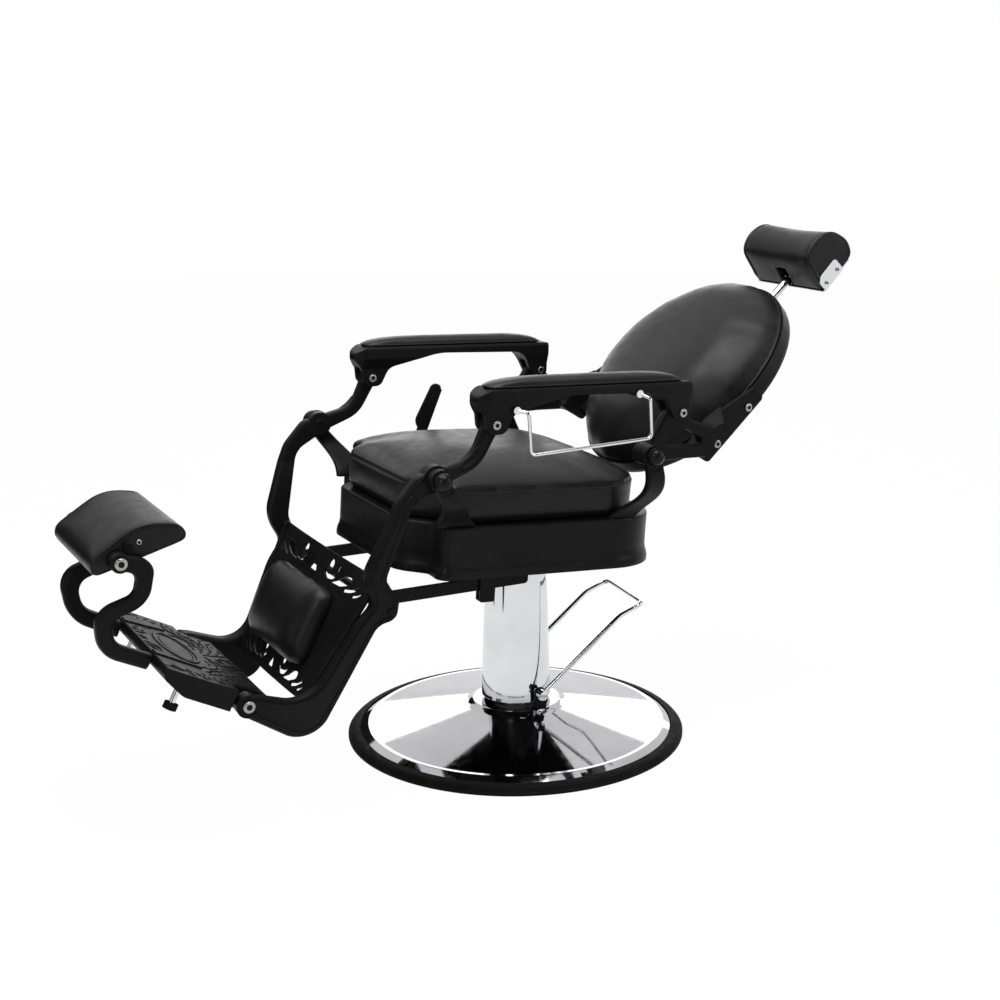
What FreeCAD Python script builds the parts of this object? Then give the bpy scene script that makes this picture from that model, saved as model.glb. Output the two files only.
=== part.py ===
"""Barber chair on a round pump base, drawn reclined with its leg rest raised.

Millimetres, +Z up, origin on the floor under the swivel axis. The sitter faces -X and the
sitter's left is -Y. Side castings are drawn in the XZ plane and repeated on both sides.
"""
import FreeCAD, Part
import math
import os
from FreeCAD import Placement, Rotation, Vector

SIZES = {
    # Floor ring, base plate and dome
    "ring_radius": 350,
    "ring_band": 38,
    "ring_height": 17,
    "ring_seat": 8,
    "ring_tread": 25.5,
    "rim_gap": 0.5,
    "rim_height": 7,
    "dome_wall": 3.5,
    "dome_step_width": 20,
    "dome_step_height": 15.5,
    "neck_radius": 92,
    "neck_height": 70,
    "neck_bore": 62,
    "base_plate_thickness": 14,
    # Pump, piston and column cover
    "pump_radius": 52,
    "pump_top": 304,
    "pump_flange_radius": 90,
    "pump_flange_thickness": 12,
    "piston_radius": 25,
    "running_gap": 0.05,
    "press_gap": 0.02,
    "lift_flange_radius": 59,
    "lift_flange_thickness": 10,
    "spigot_radius": 20,
    "spigot_length": 60,
    "cover_bottom": 79,
    "cover_top": 380,
    "cover_bottom_radius": 72,
    "cover_top_radius": 62,
    "cover_wall": 2.5,
    # Pump pedal
    "pedal_azimuth": -7,
    "pedal_pivot_reach": 23,
    "pedal_pivot_height": 101,
    "pedal_half_width": 90,
    "pedal_rod_radius": 5,
    "pedal_leg_length": 229,
    "pedal_leg_angle": 40.7,
    "pedal_toe_length": 56,
    "pedal_toe_angle": 22,
    "pedal_eye_radius": 11,
    "pedal_eye_width": 12,
    "pedal_bolt_radius": 5,
    "pedal_bracket_thickness": 8,
    "pedal_bracket_width": 24,
    "pedal_gap": 0.3,
    # Seat
    "seat_height": 409,
    "seat_tilt": 4,
    "shell_half_width": 252,
    "shell_front": 284,
    "shell_rear": 205,
    "nose_reach": 330,
    "nose_half_width": 150,
    "shell_corner": 120,
    "shell_height": 97,
    "shell_wall": 8,
    "lip_height": 26,
    "lip_reach": 6,
    "board_thickness": 12,
    "board_inset": 32,
    "cushion_inset": 8,
    "cushion_tuck": 15,
    "cushion_rear_gap": 26,
    "seat_border": 80,
    "seat_crown": 28,
    "soft_gap": 0.3,
    "mount_plate_side": 230,
    "mount_plate_thickness": 10,
    "mount_bolt_inset": 28,
    "hub_radius": 38,
    # Linkage pivots of the side castings
    "arm_spacing": 568,
    "arm_width": 48,
    "arm_top_width": 62,
    "arm_top_depth": 24,
    "arm_nose": 34,
    "arm_height": 66,
    "arm_rear_height": 60,
    "arm_heel": 17,
    "arm_taper_depth": 46,
    "casting_width": 24,
    "casting_edge": 6,
    "fork_gap": 0.5,
    "leg_pivot_x": -311,
    "leg_pivot_z": 632,
    "back_pivot_x": 130,
    "back_pivot_z": 632,
    "arm_front_x": -198,
    "arm_front_z": 721,
    "arm_rear_x": 199,
    "arm_rear_z": 708,
    "open_pivot_gap": 1.2,
    "pivot_bolt_radius": 8,
    "arm_screw_radius": 6,
    "post_width": 21,
    "post_foot_inset": 14,
    "post_gap": 1,
    "ball_radius": 17,
    "arm_pad_width": 56,
    "arm_pad_crown": 20,
    "towel_rod_radius": 3.2,
    "towel_reach": 15,
    "towel_drop": 78,
    # Leg rest
    "bend_drop": 71,
    "foot_pivot_x": -643,
    "foot_pivot_z": 237,
    "foot_frame_half_width": 196,
    "tie_x": -384,
    "tie_drop": 23,
    "tie_radius": 7,
    "moulding_height": 2.5,
    "moulding_inset": 9,
    "moulding_clear": 52,
    "calf_angle": 62.5,
    "calf_x": -463,
    "calf_z": 320,
    "calf_panel_top": 140,
    "calf_panel_bottom": 126,
    "calf_panel_thickness": 4,
    "calf_panel_bulge": 20,
    "panel_gap": 0.2,
    "panel_trim": 200,
    "calf_pad_half_width": 134,
    "calf_pad_half_height": 76,
    "calf_pad_thickness": 40,
    "link_half_spacing": 172,
    "link_height": 25,
    "link_thickness": 6,
    "link_reach": 320,
    "guide_length": 32,
    "guide_drop": 24,
    "guide_sill": 6,
    # Footrest and foot pad
    "footplate_tilt": 27.3,
    "footplate_front": 165,
    "footplate_rear": 44,
    "footplate_half_width": 206,
    "footplate_tail_half_width": 166,
    "footplate_shoulder": 28,
    "footplate_top": 21,
    "footplate_depth": 40,
    "footplate_wall": 7,
    "foot_bolt_radius": 7,
    "bolt_head": 4,
    "bolt_head_reach": 4,
    "foot_arm_width": 24,
    "foot_arm_depth": 30,
    "foot_arm_edge": 7,
    "foot_arm_lean": 0.25,
    "pad_pivot_x": -841,
    "pad_pivot_z": 517,
    "pad_tilt": 16.2,
    "pad_front": 46,
    "pad_rear": 127,
    "pad_half_width": 138,
    "pad_side_gap": 5,
    "pad_under": 15,
    "pad_crown": 30,
    "pad_edge": 12,
    "pad_bolt_radius": 7,
    # Back and headrest
    "back_x": 401,
    "back_z": 723,
    "back_angle": 42.5,
    "back_half_length": 252,
    "back_half_width": 242,
    "back_shell_thickness": 35,
    "back_cushion_depth": 76,
    "tail_thickness": 9.7,
    "tail_gap": 2.3,
    "bracket_edge": 4,
    "post_radius": 9,
    "post_depth": 45.5,
    "post_lower": 60,
    "socket_lower": 120,
    "socket_length": 90,
    "hinge_height": 345,
    "headrest_lean": 3,
    "headrest_half_width": 118,
    "headrest_height": 97,
    "headrest_length": 120,
    "headrest_saddle": 6,
    "headrest_plate": 3,
    "headrest_overhang": 29,
    "headrest_bracket_length": 92,
    "headrest_recess_width": 34,
    "headrest_recess_reach": 22,
    # Recline lever
    "lever_x": -100,
    "lever_rise": 61,
    "lever_thickness": 6,
    "lever_shaft_radius": 8,
}

# Rubber bumpers under the footplate: behind its front edge, in from its side and below its skirt
BUMPERS = ((53, 56, 27), (115, 86, 4))

DOC = FreeCAD.newDocument("BarberChair")
SHEET = DOC.addObject("Spreadsheet::Sheet", "Sizes")
NODES = []
LEFT = -1
RIGHT = 1
SIDE_NAMES = {LEFT: "left", RIGHT: "right"}
Y_AXIS = Vector(0, 1, 0)
Z_AXIS = Vector(0, 0, 1)


def fill_sheet():
    """Write every size to an aliased cell."""
    for row, (name, value) in enumerate(SIZES.items(), 1):
        SHEET.set("A%d" % row, name)
        SHEET.set("B%d" % row, str(value))
        SHEET.setAlias("B%d" % row, name)
    DOC.recompute()


def size(name):
    return float(SHEET.get(name))


def pivot(name):
    """A pivot of the side linkage as (x, z)."""
    return size(name + "_x"), size(name + "_z")


def tie_point():
    """The tie rod's axis as (x, z): set under the seat, so that the link bars pass below its shell."""
    return size("tie_x"), size("seat_height") - size("tie_drop")


def beside(point, *offsets):
    """Outline points given as offsets from a pivot, each with an optional corner radius."""
    return [(point[0] + dx, point[1] + dz, *radius) for dx, dz, *radius in offsets]


# Outlines: points are (a, b) or (a, b, corner radius)

def unit(a, b):
    length = math.hypot(b[0] - a[0], b[1] - a[1])
    return (b[0] - a[0]) / length, (b[1] - a[1]) / length, length


def corner(before, at, after):
    """Start, middle and end of the arc that rounds one corner, or None where it is sharp."""
    radius = at[2] if len(at) > 2 else 0
    in_x, in_y, in_length = unit(before, at)
    out_x, out_y, out_length = unit(at, after)
    turn = math.acos(max(-1.0, min(1.0, in_x * out_x + in_y * out_y)))
    if radius <= 0 or turn < 1e-3:
        return None
    tangent = min(radius * math.tan(turn / 2), 0.48 * min(in_length, out_length))
    radius = tangent / math.tan(turn / 2)
    bis_x, bis_y, bis_length = unit((in_x, in_y), (out_x, out_y))
    reach = radius / math.cos(turn / 2) - radius
    start = (at[0] - in_x * tangent, at[1] - in_y * tangent)
    middle = (at[0] + bis_x * reach, at[1] + bis_y * reach)
    end = (at[0] + out_x * tangent, at[1] + out_y * tangent)
    return start, middle, end


def segments(points, closed=True):
    """Lines (two points) and arcs (three points) of an outline with rounded corners."""
    count = len(points)
    pieces = []
    arcs = []
    for i in range(count):
        inner = closed or 0 < i < count - 1
        arc = corner(points[i - 1], points[i], points[(i + 1) % count]) if inner else None
        arcs.append(arc or (points[i][:2],))
    for i in range(count if closed else count - 1):
        start = arcs[i][-1]
        end = arcs[(i + 1) % count][0]
        if math.hypot(end[0] - start[0], end[1] - start[1]) > 1e-6:
            pieces.append((start, end))
        if len(arcs[(i + 1) % count]) == 3:
            pieces.append(arcs[(i + 1) % count])
    return pieces


def curves(points, closed=True, place=lambda a, b: Vector(a, b, 0)):
    """Sketch curves of an outline, placed in space by a function of its two coordinates."""
    made = []
    for piece in segments(points, closed):
        ends = [place(*p) for p in piece]
        made.append(Part.LineSegment(*ends) if len(ends) == 2 else Part.Arc(*ends))
    return made


def wire(points, place=lambda a, b: Vector(a, b, 0), closed=True):
    return Part.Wire([c.toShape() for c in curves(points, closed, place)])


def signed_area(points):
    return sum(p[0] * q[1] - q[0] * p[1] for p, q in zip(points, points[1:] + points[:1])) / 2


def inset(points, distance):
    """The outline moved inwards by a distance; corner radii grow or shrink with it."""
    ccw = 1 if signed_area(points) > 0 else -1
    count = len(points)
    moved = []
    for i in range(count):
        moved.append(shifted_corner(points[i - 1], points[i], points[(i + 1) % count], ccw * distance))
    return moved


def shifted_corner(before, at, after, distance):
    """Where two edges meet once both have moved to their left by a distance."""
    in_x, in_y, _ = unit(before, at)
    out_x, out_y, _ = unit(at, after)
    cross = in_x * out_y - in_y * out_x
    radius = at[2] if len(at) > 2 else 0
    if abs(cross) < 1e-6:
        return at[0] - in_y * distance, at[1] + in_x * distance, radius
    scale = distance / (1 + in_x * out_x + in_y * out_y)
    new = (at[0] + scale * (-in_y - out_y), at[1] + scale * (in_x + out_x))
    turn = 1 if cross > 0 else -1
    return (*new, max(radius - turn * distance, 0.5)) if radius else new


def band(path, half_width):
    """Closed outline of a strip of even width along an open path."""
    sides = []
    for reach in (half_width, -half_width):
        side = [end_point(path[0], path[1], path[0], reach)]
        for before, at, after in zip(path, path[1:], path[2:]):
            side.append(shifted_corner(before, at, after, reach))
        side.append(end_point(path[-2], path[-1], path[-1], reach))
        sides.append(side)
    return sides[0] + sides[1][::-1]


def end_point(start, end, at, reach):
    along_x, along_y, _ = unit(start, end)
    return at[0] - along_y * reach, at[1] + along_x * reach


def mirrored(half):
    """A full outline from its +Y half, listed from front to rear or rear to front."""
    return half + [(p[0], -p[1], *p[2:]) for p in half[::-1]]


# Document objects

def keep(obj, label):
    obj.Label = label
    NODES.append(obj)
    return obj


def solid_node(label, shape, place=None):
    """A sub-part whose shape is worked out here from the sheet."""
    obj = DOC.addObject("Part::Feature", label)
    obj.Shape = shape
    if place:
        place(obj)
    return keep(obj, label)


def body_node(label, place=None):
    body = DOC.addObject("PartDesign::Body", label)
    if place:
        place(body)
    return keep(body, label)


def sketch_on(body, role, curves_list, offset=None):
    """A sketch on one of the body's own planes, moved along its normal by an expression."""
    sketch = body.newObject("Sketcher::SketchObject", "Sketch")
    plane = [f for f in body.Origin.OriginFeatures if f.Role == role][0]
    sketch.AttachmentSupport = (plane, "")
    sketch.MapMode = "FlatFace"
    if offset:
        sketch.setExpression("AttachmentOffset.Base.z", offset)
    sketch.addGeometry(curves_list, False)
    return sketch


def pad(body, sketch, length):
    feature = body.newObject("PartDesign::Pad", "Pad")
    feature.Profile = sketch
    feature.setExpression("Length", length)
    DOC.recompute()
    return feature


def pocket(body, sketch, length, forward=False):
    """Cut against the sketch's normal, or along it where forward is set."""
    before = body.Shape.Volume
    feature = body.newObject("PartDesign::Pocket", "Pocket")
    feature.Profile = sketch
    feature.Reversed = forward
    feature.setExpression("Length", length)
    DOC.recompute()
    if body.Shape.Volume >= before:
        raise RuntimeError("a pocket of %s cut nothing" % body.Label)
    return feature


def revolved(label, points, place=None):
    """A body of revolution about Z from an outline of (radius, height) points."""
    body = body_node(label, place)
    sketch = sketch_on(body, "XZ_Plane", curves(points))
    feature = body.newObject("PartDesign::Revolution", "Revolution")
    feature.Profile = sketch
    feature.ReferenceAxis = (sketch, ["V_Axis"])
    feature.Angle = 360
    DOC.recompute()
    return body


def side_offset(side, centre, width, outer):
    """Sketch offset on the XZ plane for a slab centred at side * centre."""
    sign = "" if side == LEFT else "-"
    step = "+" if (side == LEFT) == outer else "-"
    return "%s(%s %s (%s) / 2)" % (sign, centre, step, width)


def slab(body, outline, side, centre, width):
    """Add a plate drawn in side view, centred at a distance from the middle plane."""
    drawn = outline if isinstance(outline[0], Part.Circle) else curves(outline)
    sketch = sketch_on(body, "XZ_Plane", drawn, side_offset(side, centre, width, False))
    return pad(body, sketch, width)


def slot(body, outline, side, centre, width):
    """Cut a plate-shaped slot or bore drawn in side view."""
    drawn = outline if isinstance(outline[0], Part.Circle) else curves(outline)
    sketch = sketch_on(body, "XZ_Plane", drawn, side_offset(side, centre, width, True))
    return pocket(body, sketch, width)


def ring(point, radius):
    return [Part.Circle(Vector(point[0], point[1], 0), Z_AXIS, radius)]


def pin(radius, length, base, direction):
    return Part.makeCylinder(radius, length, base, direction)


def tube(route, radius):
    """A round rod along straight runs joined by bends; points are (Vector, bend radius)."""
    edges = []
    last = route[0][0]
    for (before, _), (at, bend), (after, _) in zip(route, route[1:], route[2:]):
        inward = (at - before).normalize()
        outward = (after - at).normalize()
        turn = inward.getAngle(outward)
        tangent = bend * math.tan(turn / 2)
        start = at - inward * tangent
        end = at + outward * tangent
        middle = at + (outward - inward).normalize() * (bend / math.cos(turn / 2) - bend)
        edges += [Part.LineSegment(last, start).toShape(), Part.Arc(start, middle, end).toShape()]
        last = end
    edges.append(Part.LineSegment(last, route[-1][0]).toShape())
    spine = Part.Wire(edges)
    heading = (route[1][0] - route[0][0]).normalize()
    section = Part.Wire(Part.Circle(route[0][0], heading, radius).toShape())
    return spine.makePipeShell([section], True, False)


# Frames that groups of pieces are drawn in

def tilted(x, z, angle):
    """Give a Placement that turns about Y, bound to the sheet by three expressions."""
    def place(obj):
        obj.Placement = Placement(Vector(0, 0, 0), Rotation(Y_AXIS, 1))
        obj.setExpression("Placement.Base.x", x)
        obj.setExpression("Placement.Base.z", z)
        obj.setExpression("Placement.Rotation.Angle", angle)
        DOC.recompute()
    return place


SEAT = tilted("0", "Sizes.seat_height", "Sizes.seat_tilt")
BACK = tilted("Sizes.back_x", "Sizes.back_z", "-Sizes.back_angle")
FOOT = tilted("Sizes.foot_pivot_x", "Sizes.foot_pivot_z", "Sizes.footplate_tilt")
PAD = tilted("Sizes.pad_pivot_x", "Sizes.pad_pivot_z", "-Sizes.pad_tilt")
CALF = tilted("Sizes.calf_x", "Sizes.calf_z", "-Sizes.calf_angle")
HINGE_X = ("Sizes.back_x + Sizes.hinge_height * cos(Sizes.back_angle * 1 deg)"
           " + Sizes.post_depth * sin(Sizes.back_angle * 1 deg)")
HINGE_Z = ("Sizes.back_z + Sizes.hinge_height * sin(Sizes.back_angle * 1 deg)"
           " - Sizes.post_depth * cos(Sizes.back_angle * 1 deg)")
HEADREST = tilted(HINGE_X, HINGE_Z, "-(Sizes.back_angle + Sizes.headrest_lean)")


def at_pedal(obj):
    obj.Placement = Placement(Vector(0, 0, 0), Rotation(Z_AXIS, 1))
    obj.setExpression("Placement.Rotation.Angle", "Sizes.pedal_azimuth")
    DOC.recompute()


def seat_point(point):
    """A point of the side view in the tilted seat frame."""
    angle = math.radians(size("seat_tilt"))
    x, z = point[0], point[1] - size("seat_height")
    return x * math.cos(angle) - z * math.sin(angle), x * math.sin(angle) + z * math.cos(angle)


def back_point(up, out):
    """Side-view point of a place on the back, up along it and out towards the sitter."""
    angle = math.radians(size("back_angle"))
    x = size("back_x") + up * math.cos(angle) - out * math.sin(angle)
    z = size("back_z") + up * math.sin(angle) + out * math.cos(angle)
    return x, z


def foot_point(rear, up):
    """Side-view point of a place on the footplate."""
    angle = math.radians(size("footplate_tilt"))
    x = size("foot_pivot_x") + rear * math.cos(angle) + up * math.sin(angle)
    z = size("foot_pivot_z") - rear * math.sin(angle) + up * math.cos(angle)
    return x, z


# Base and pump

def make_base():
    inner = size("ring_radius") - size("ring_band")
    outer = size("ring_radius")
    seat = size("ring_seat")
    rim = outer - size("ring_tread")
    top = size("ring_height")
    bore = rim + size("rim_gap")
    revolved("floor_ring", [(inner, 0), (outer, 0), (outer, 5), (outer - 3, 6.5), (outer - 3, 8.5),
                            (outer - 7, 10), (outer - 7, 12), (outer - 14, top - 2), (bore, top),
                            (bore, seat), (inner, seat)])
    make_dome(rim, seat)
    plate_top = size("base_plate_thickness")
    plate_radius = inner - size("rim_gap")
    revolved("base_plate", [(0, 0), (plate_radius, 0), (plate_radius, plate_top), (0, plate_top)])
    make_pump(plate_top)


def make_dome(rim, seat):
    """Spun steel cover: a stepped rim, a shallow rise and a flat land round the column."""
    wall = size("dome_wall")
    step = rim - size("dome_step_width")
    step_top = seat + size("dome_step_height")
    neck = size("neck_radius")
    top = size("neck_height")
    bore = size("neck_bore")
    rise = (top - step_top) / 3
    lip = seat + size("rim_height")
    outer = [(rim, seat), (rim, lip, 3), (step + 4, step_top, 4), (step - 4, step_top, 3),
             (neck + 8, top - rise / 2, 30), (neck - 2, top, 5), (bore, top)]
    inner = [(bore, top - wall), (neck - 4, top - wall, 3), (neck + 5, top - rise / 2 - wall, 30),
             (step - 4, step_top - wall, 3), (step + 3, step_top - wall, 3), (rim - wall, lip - 2),
             (rim - wall, seat)]
    revolved("base_dome", outer + inner)


def make_pump(floor):
    radius = size("pump_radius")
    bore = size("piston_radius") + size("running_gap")
    top = size("pump_top")
    flange = size("pump_flange_radius")
    flange_top = floor + size("pump_flange_thickness")
    bore_bottom = floor + 46
    revolved("pump_body", [(0, floor), (flange, floor), (flange, flange_top, 3), (radius + 8, flange_top, 6),
                           (radius, flange_top + 12, 6), (radius, top, 5), (bore, top), (bore, bore_bottom),
                           (0, bore_bottom)])
    bolts = []
    for quarter in range(4):
        angle = math.radians(45 + 90 * quarter)
        reach = (radius + flange) / 2 + 5
        base = Vector(reach * math.cos(angle), reach * math.sin(angle), flange_top)
        bolts.append(pin(8, 7, base, Z_AXIS))
    solid_node("pump_bolts", Part.makeCompound(bolts))
    make_lift(bore_bottom)


def make_lift(bore_bottom):
    radius = size("piston_radius")
    flange = size("lift_flange_radius")
    under = size("cover_top")
    top = under + size("lift_flange_thickness")
    spigot = size("spigot_radius")
    end = top + size("spigot_length")
    revolved("piston", [(0, bore_bottom + 3), (radius, bore_bottom + 3), (radius, under), (flange, under),
                        (flange, top, 2), (spigot, top), (spigot, end, 3), (0, end)])
    low = size("cover_bottom")
    wide = size("cover_bottom_radius")
    narrow = size("cover_top_radius")
    wall = size("cover_wall")
    lid = radius + 15
    revolved("column_cover", [(wide - 5, low), (wide, low, 4), (wide, low + 9, 6), (narrow, under, 3),
                              (lid, under), (lid, under - 4), (narrow - wall, under - 4),
                              (wide - wall, low + 9), (wide - 5, low + 4)])


def make_pedal():
    """A bent rod that straddles the column, hung on two brackets on the dome's land."""
    reach = size("pedal_pivot_reach")
    height = size("pedal_pivot_height")
    half = size("pedal_half_width")
    leg = math.radians(size("pedal_leg_angle"))
    toe = math.radians(size("pedal_toe_angle"))
    rod = size("pedal_rod_radius")
    long = size("pedal_leg_length")
    short = size("pedal_toe_length")
    bend = (reach + long * math.cos(leg), height + long * math.sin(leg))
    tip = (bend[0] + short * math.cos(toe), bend[1] + short * math.sin(toe))
    start = (reach + 8 * math.cos(leg), height + 8 * math.sin(leg))
    route = []
    for side in (LEFT, RIGHT):
        arm = [(Vector(start[0], side * half, start[1]), 0), (Vector(bend[0], side * half, bend[1]), 45),
               (Vector(tip[0], side * half, tip[1]), 14)]
        route += arm if side == LEFT else arm[::-1]
    bail = tube(route, rod)
    eye_width = size("pedal_eye_width")
    bore = size("pedal_bolt_radius") + size("running_gap")
    for side in (LEFT, RIGHT):
        base = Vector(reach, side * half - eye_width / 2, height)
        bail = bail.fuse(pin(size("pedal_eye_radius"), eye_width, base, Y_AXIS))
        bail = bail.cut(pin(bore, eye_width, base, Y_AXIS))
    solid_node("pump_pedal", bail.removeSplitter(), at_pedal)
    make_pedal_brackets(reach, height, half - eye_width / 2)


def make_pedal_brackets(reach, height, eye_face):
    thick = size("pedal_bracket_thickness")
    bolt = size("pedal_bolt_radius")
    land = size("neck_height")
    half = size("pedal_bracket_width") / 2
    gap = size("pedal_gap")
    outline = [(reach - half, land), (reach + half, land), (reach + half, height + half, half - 1),
               (reach - half, height + half, half - 1)]
    bolts = []
    for side in (LEFT, RIGHT):
        body = body_node("pedal_bracket_" + SIDE_NAMES[side], at_pedal)
        face = ("Sizes.pedal_half_width - Sizes.pedal_eye_width / 2 - Sizes.pedal_gap"
                " - Sizes.pedal_bracket_thickness / 2")
        slab(body, outline, side, face, "Sizes.pedal_bracket_thickness")
        bore = ring((reach, height), bolt + size("press_gap"))
        slot(body, bore, side, face, "Sizes.pedal_bracket_thickness")
        inner = eye_face - gap - thick
        out = Vector(0, side, 0)
        shank = size("pedal_eye_width") + 2 * gap + thick
        head = Vector(reach, side * (inner + shank), height)
        bolt_solid = pin(bolt, shank, Vector(reach, side * inner, height), out)
        bolts.append(bolt_solid.fuse(pin(bolt + 4, 5, head, out)).removeSplitter())
    solid_node("pedal_bolts", Part.makeCompound(bolts), at_pedal)


# Seat

def seat_outline(rear):
    """Plan of the seat: square front corners, a bowed nose and wide round rear corners."""
    wide = size("shell_half_width")
    front = -size("shell_front")
    nose = size("nose_half_width")
    half = [(-size("nose_reach"), nose, 55), (front + 3, nose + 46, 20), (front, wide, 18),
            (rear, wide, size("shell_corner"))]
    return mirrored(half)


def shell_skin(outline):
    """The shell's outside: a foot that flares out and a top edge rounded over."""
    reach = size("lip_reach")
    lip = size("lip_height")
    tall = size("shell_height")
    profile = ((-reach, 0), (-reach, lip * 0.25), (-0.75 * reach, lip * 0.55), (-0.25 * reach, lip * 0.85),
               (0, lip * 1.2), (0, tall - 4), (1.2, tall - 1.2), (4, tall))
    sections = []
    for shrink, level in profile:
        sections.append(wire(inset(outline, shrink), lambda a, b, z=level: Vector(a, b, z)))
    return Part.makeLoft(sections, True, True)


def make_seat():
    outline = seat_outline(size("shell_rear"))
    wall = size("shell_wall")
    hollow = Part.Face(wire(inset(outline, wall))).extrude(Vector(0, 0, size("shell_height") - wall))
    lever = seat_point(lever_axis())
    beside_wall = Vector(lever[0], size("shell_half_width") - 2 * wall, lever[1])
    bore = pin(size("lever_shaft_radius") + size("running_gap"), 4 * wall, beside_wall, Y_AXIS)
    solid_node("seat_shell", shell_skin(outline).cut(hollow).cut(bore), SEAT)
    plan = seat_outline(size("shell_rear") - size("cushion_rear_gap"))
    board = body_node("seat_board", SEAT)
    board_plan = curves(inset(plan, size("board_inset")))
    pad(board, sketch_on(board, "XY_Plane", board_plan, "Sizes.shell_height"), "Sizes.board_thickness")
    make_seat_cushion(plan)
    make_mount()
    make_link_guide()
    for side in (LEFT, RIGHT):
        make_posts(side)
    make_pivot_bolts("leg_pivot_bolts", pivot("leg_pivot"))
    make_pivot_bolts("back_pivot_bolts", pivot("back_pivot"))


def make_seat_cushion(outline):
    """Boxed cushion wrapped round its board: drawn-in border, a seam at its top edge and a low crown."""
    gap = size("soft_gap")
    floor = size("shell_height") + gap
    border = size("seat_border")
    crown = size("seat_crown")
    edge = size("cushion_inset")
    rim = inset(outline, edge + 5)
    stack = []
    tuck = size("cushion_tuck")
    profile = ((tuck, 0), (tuck - 2, 0.08), (9, 0.155), (0, 0.36), (4, 0.64), (0, 0.93), (5, 1))
    for drawn, level in profile:
        depth = edge + drawn
        stack.append(wire(inset(outline, depth), lambda a, b, z=floor + border * level: Vector(a, b, z)))
    sides = Part.makeLoft(stack, True, True)
    centre = (size("shell_rear") - size("shell_front")) / 2
    rings = []
    soft = size("shell_corner")
    for scale in (1, 0.94, 0.85, 0.7, 0.45, 0.2):
        smaller = []
        for x, y, radius in rim:
            smaller.append((centre + (x - centre) * scale, y * scale, radius * scale + soft * (1 - scale)))
        top = floor + border + crown * (1 - scale ** 5)
        rings.append(wire(smaller, lambda a, b, z=top: Vector(a, b, z)))
    dome = Part.makeLoft(rings, True, False)
    board = Part.Face(wire(inset(outline, size("board_inset") - gap), lambda a, b: Vector(a, b, floor - 1)))
    hollow = board.extrude(Vector(0, 0, size("board_thickness") + 1))
    solid_node("seat_cushion", sides.fuse(dome).removeSplitter().cut(hollow), SEAT)


def make_mount():
    """Steel plate under the deck with an upright hub that turns on the piston's spigot."""
    side = size("mount_plate_side") / 2
    thick = size("mount_plate_thickness")
    under = size("shell_height") - size("shell_wall") - thick
    corners = [(-side, -side, 20), (side, -side, 20), (side, side, 20), (-side, side, 20)]
    plate = Part.Face(wire(corners, lambda a, b: Vector(a, b, under))).extrude(Vector(0, 0, thick))
    above = Part.makeBox(2 * side, 2 * side, 4 * side, Vector(-side, -side, under))
    for solid in (plate, above):
        solid.Placement = Placement(Vector(0, 0, size("seat_height")), Rotation(Y_AXIS, size("seat_tilt")))
    low = size("cover_top") + size("lift_flange_thickness") + 0.3
    bore = size("spigot_radius") + size("running_gap")
    hub = Part.makeCylinder(size("hub_radius"), 2 * side, Vector(0, 0, low)).cut(above)
    hub = hub.cut(pin(bore, size("spigot_length") + 4, Vector(0, 0, low), Z_AXIS))
    solid_node("mount_plate", plate.fuse(hub).removeSplitter())
    bolts = []
    spot = side - size("mount_bolt_inset")
    for x in (-spot, spot):
        for y in (-spot, spot):
            bolts.append(pin(8, 6, Vector(x, y, under - 6), Z_AXIS))
    solid_node("mount_bolts", Part.makeCompound(bolts), SEAT)


def post_section(centre, length, width, height):
    """Rounded rectangle at one height of a post, in the seat frame."""
    x, y = centre
    corner_radius = width * 0.35
    outline = [(x - length / 2, y - width / 2, corner_radius), (x + length / 2, y - width / 2, corner_radius),
               (x + length / 2, y + width / 2, corner_radius), (x - length / 2, y + width / 2, corner_radius)]
    return wire(outline, lambda a, b: Vector(a, b, height))


def make_posts(side):
    """Cast posts that sweep out from the shell's rim to the pivots."""
    deck = size("shell_height")
    foot_y = size("shell_half_width") - size("post_foot_inset")
    head_width = size("post_width")
    head_in = size("arm_spacing") / 2 + size("casting_width") / 2 + size("post_gap")
    head_y = head_in + head_width / 2
    bore = size("pivot_bolt_radius") + size("press_gap")
    sweeps = ((0, 0, 15), (0.24, 0.3, 16), (0.48, 0.76, 18), (0.72, 1, 20), (1, 1, head_width))
    feet = {"front": ("leg_pivot", (70, 56, 40, 20, 0), (86, 58, 46, 40, 34)),
            "rear": ("back_pivot", (-14, 15, 21, 12, 0), (62, 46, 40, 38, 34))}
    for name, (head, shifts, lengths) in feet.items():
        head_x, head_z = seat_point(pivot(head))
        rise = head_z - deck
        sections = []
        for (share, sweep, width), shift, length in zip(sweeps, shifts, lengths):
            y = side * (foot_y + (head_y - foot_y) * sweep)
            sections.append(post_section((head_x + shift, y), length, width, deck + rise * share))
        post = Part.makeLoft(sections, True, False)
        out = Vector(0, side, 0)
        inner = Vector(head_x, side * head_in, head_z)
        outer = inner + out * head_width
        post = post.fuse(pin(21, head_width, inner, out)).cut(pin(bore, head_width, inner, out))
        spot_faces = pin(30, 40, outer, out).fuse(pin(30, 40, inner, out * -1))
        solid_node("post_%s_%s" % (name, SIDE_NAMES[side]), post.cut(spot_faces).removeSplitter(), SEAT)


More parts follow.
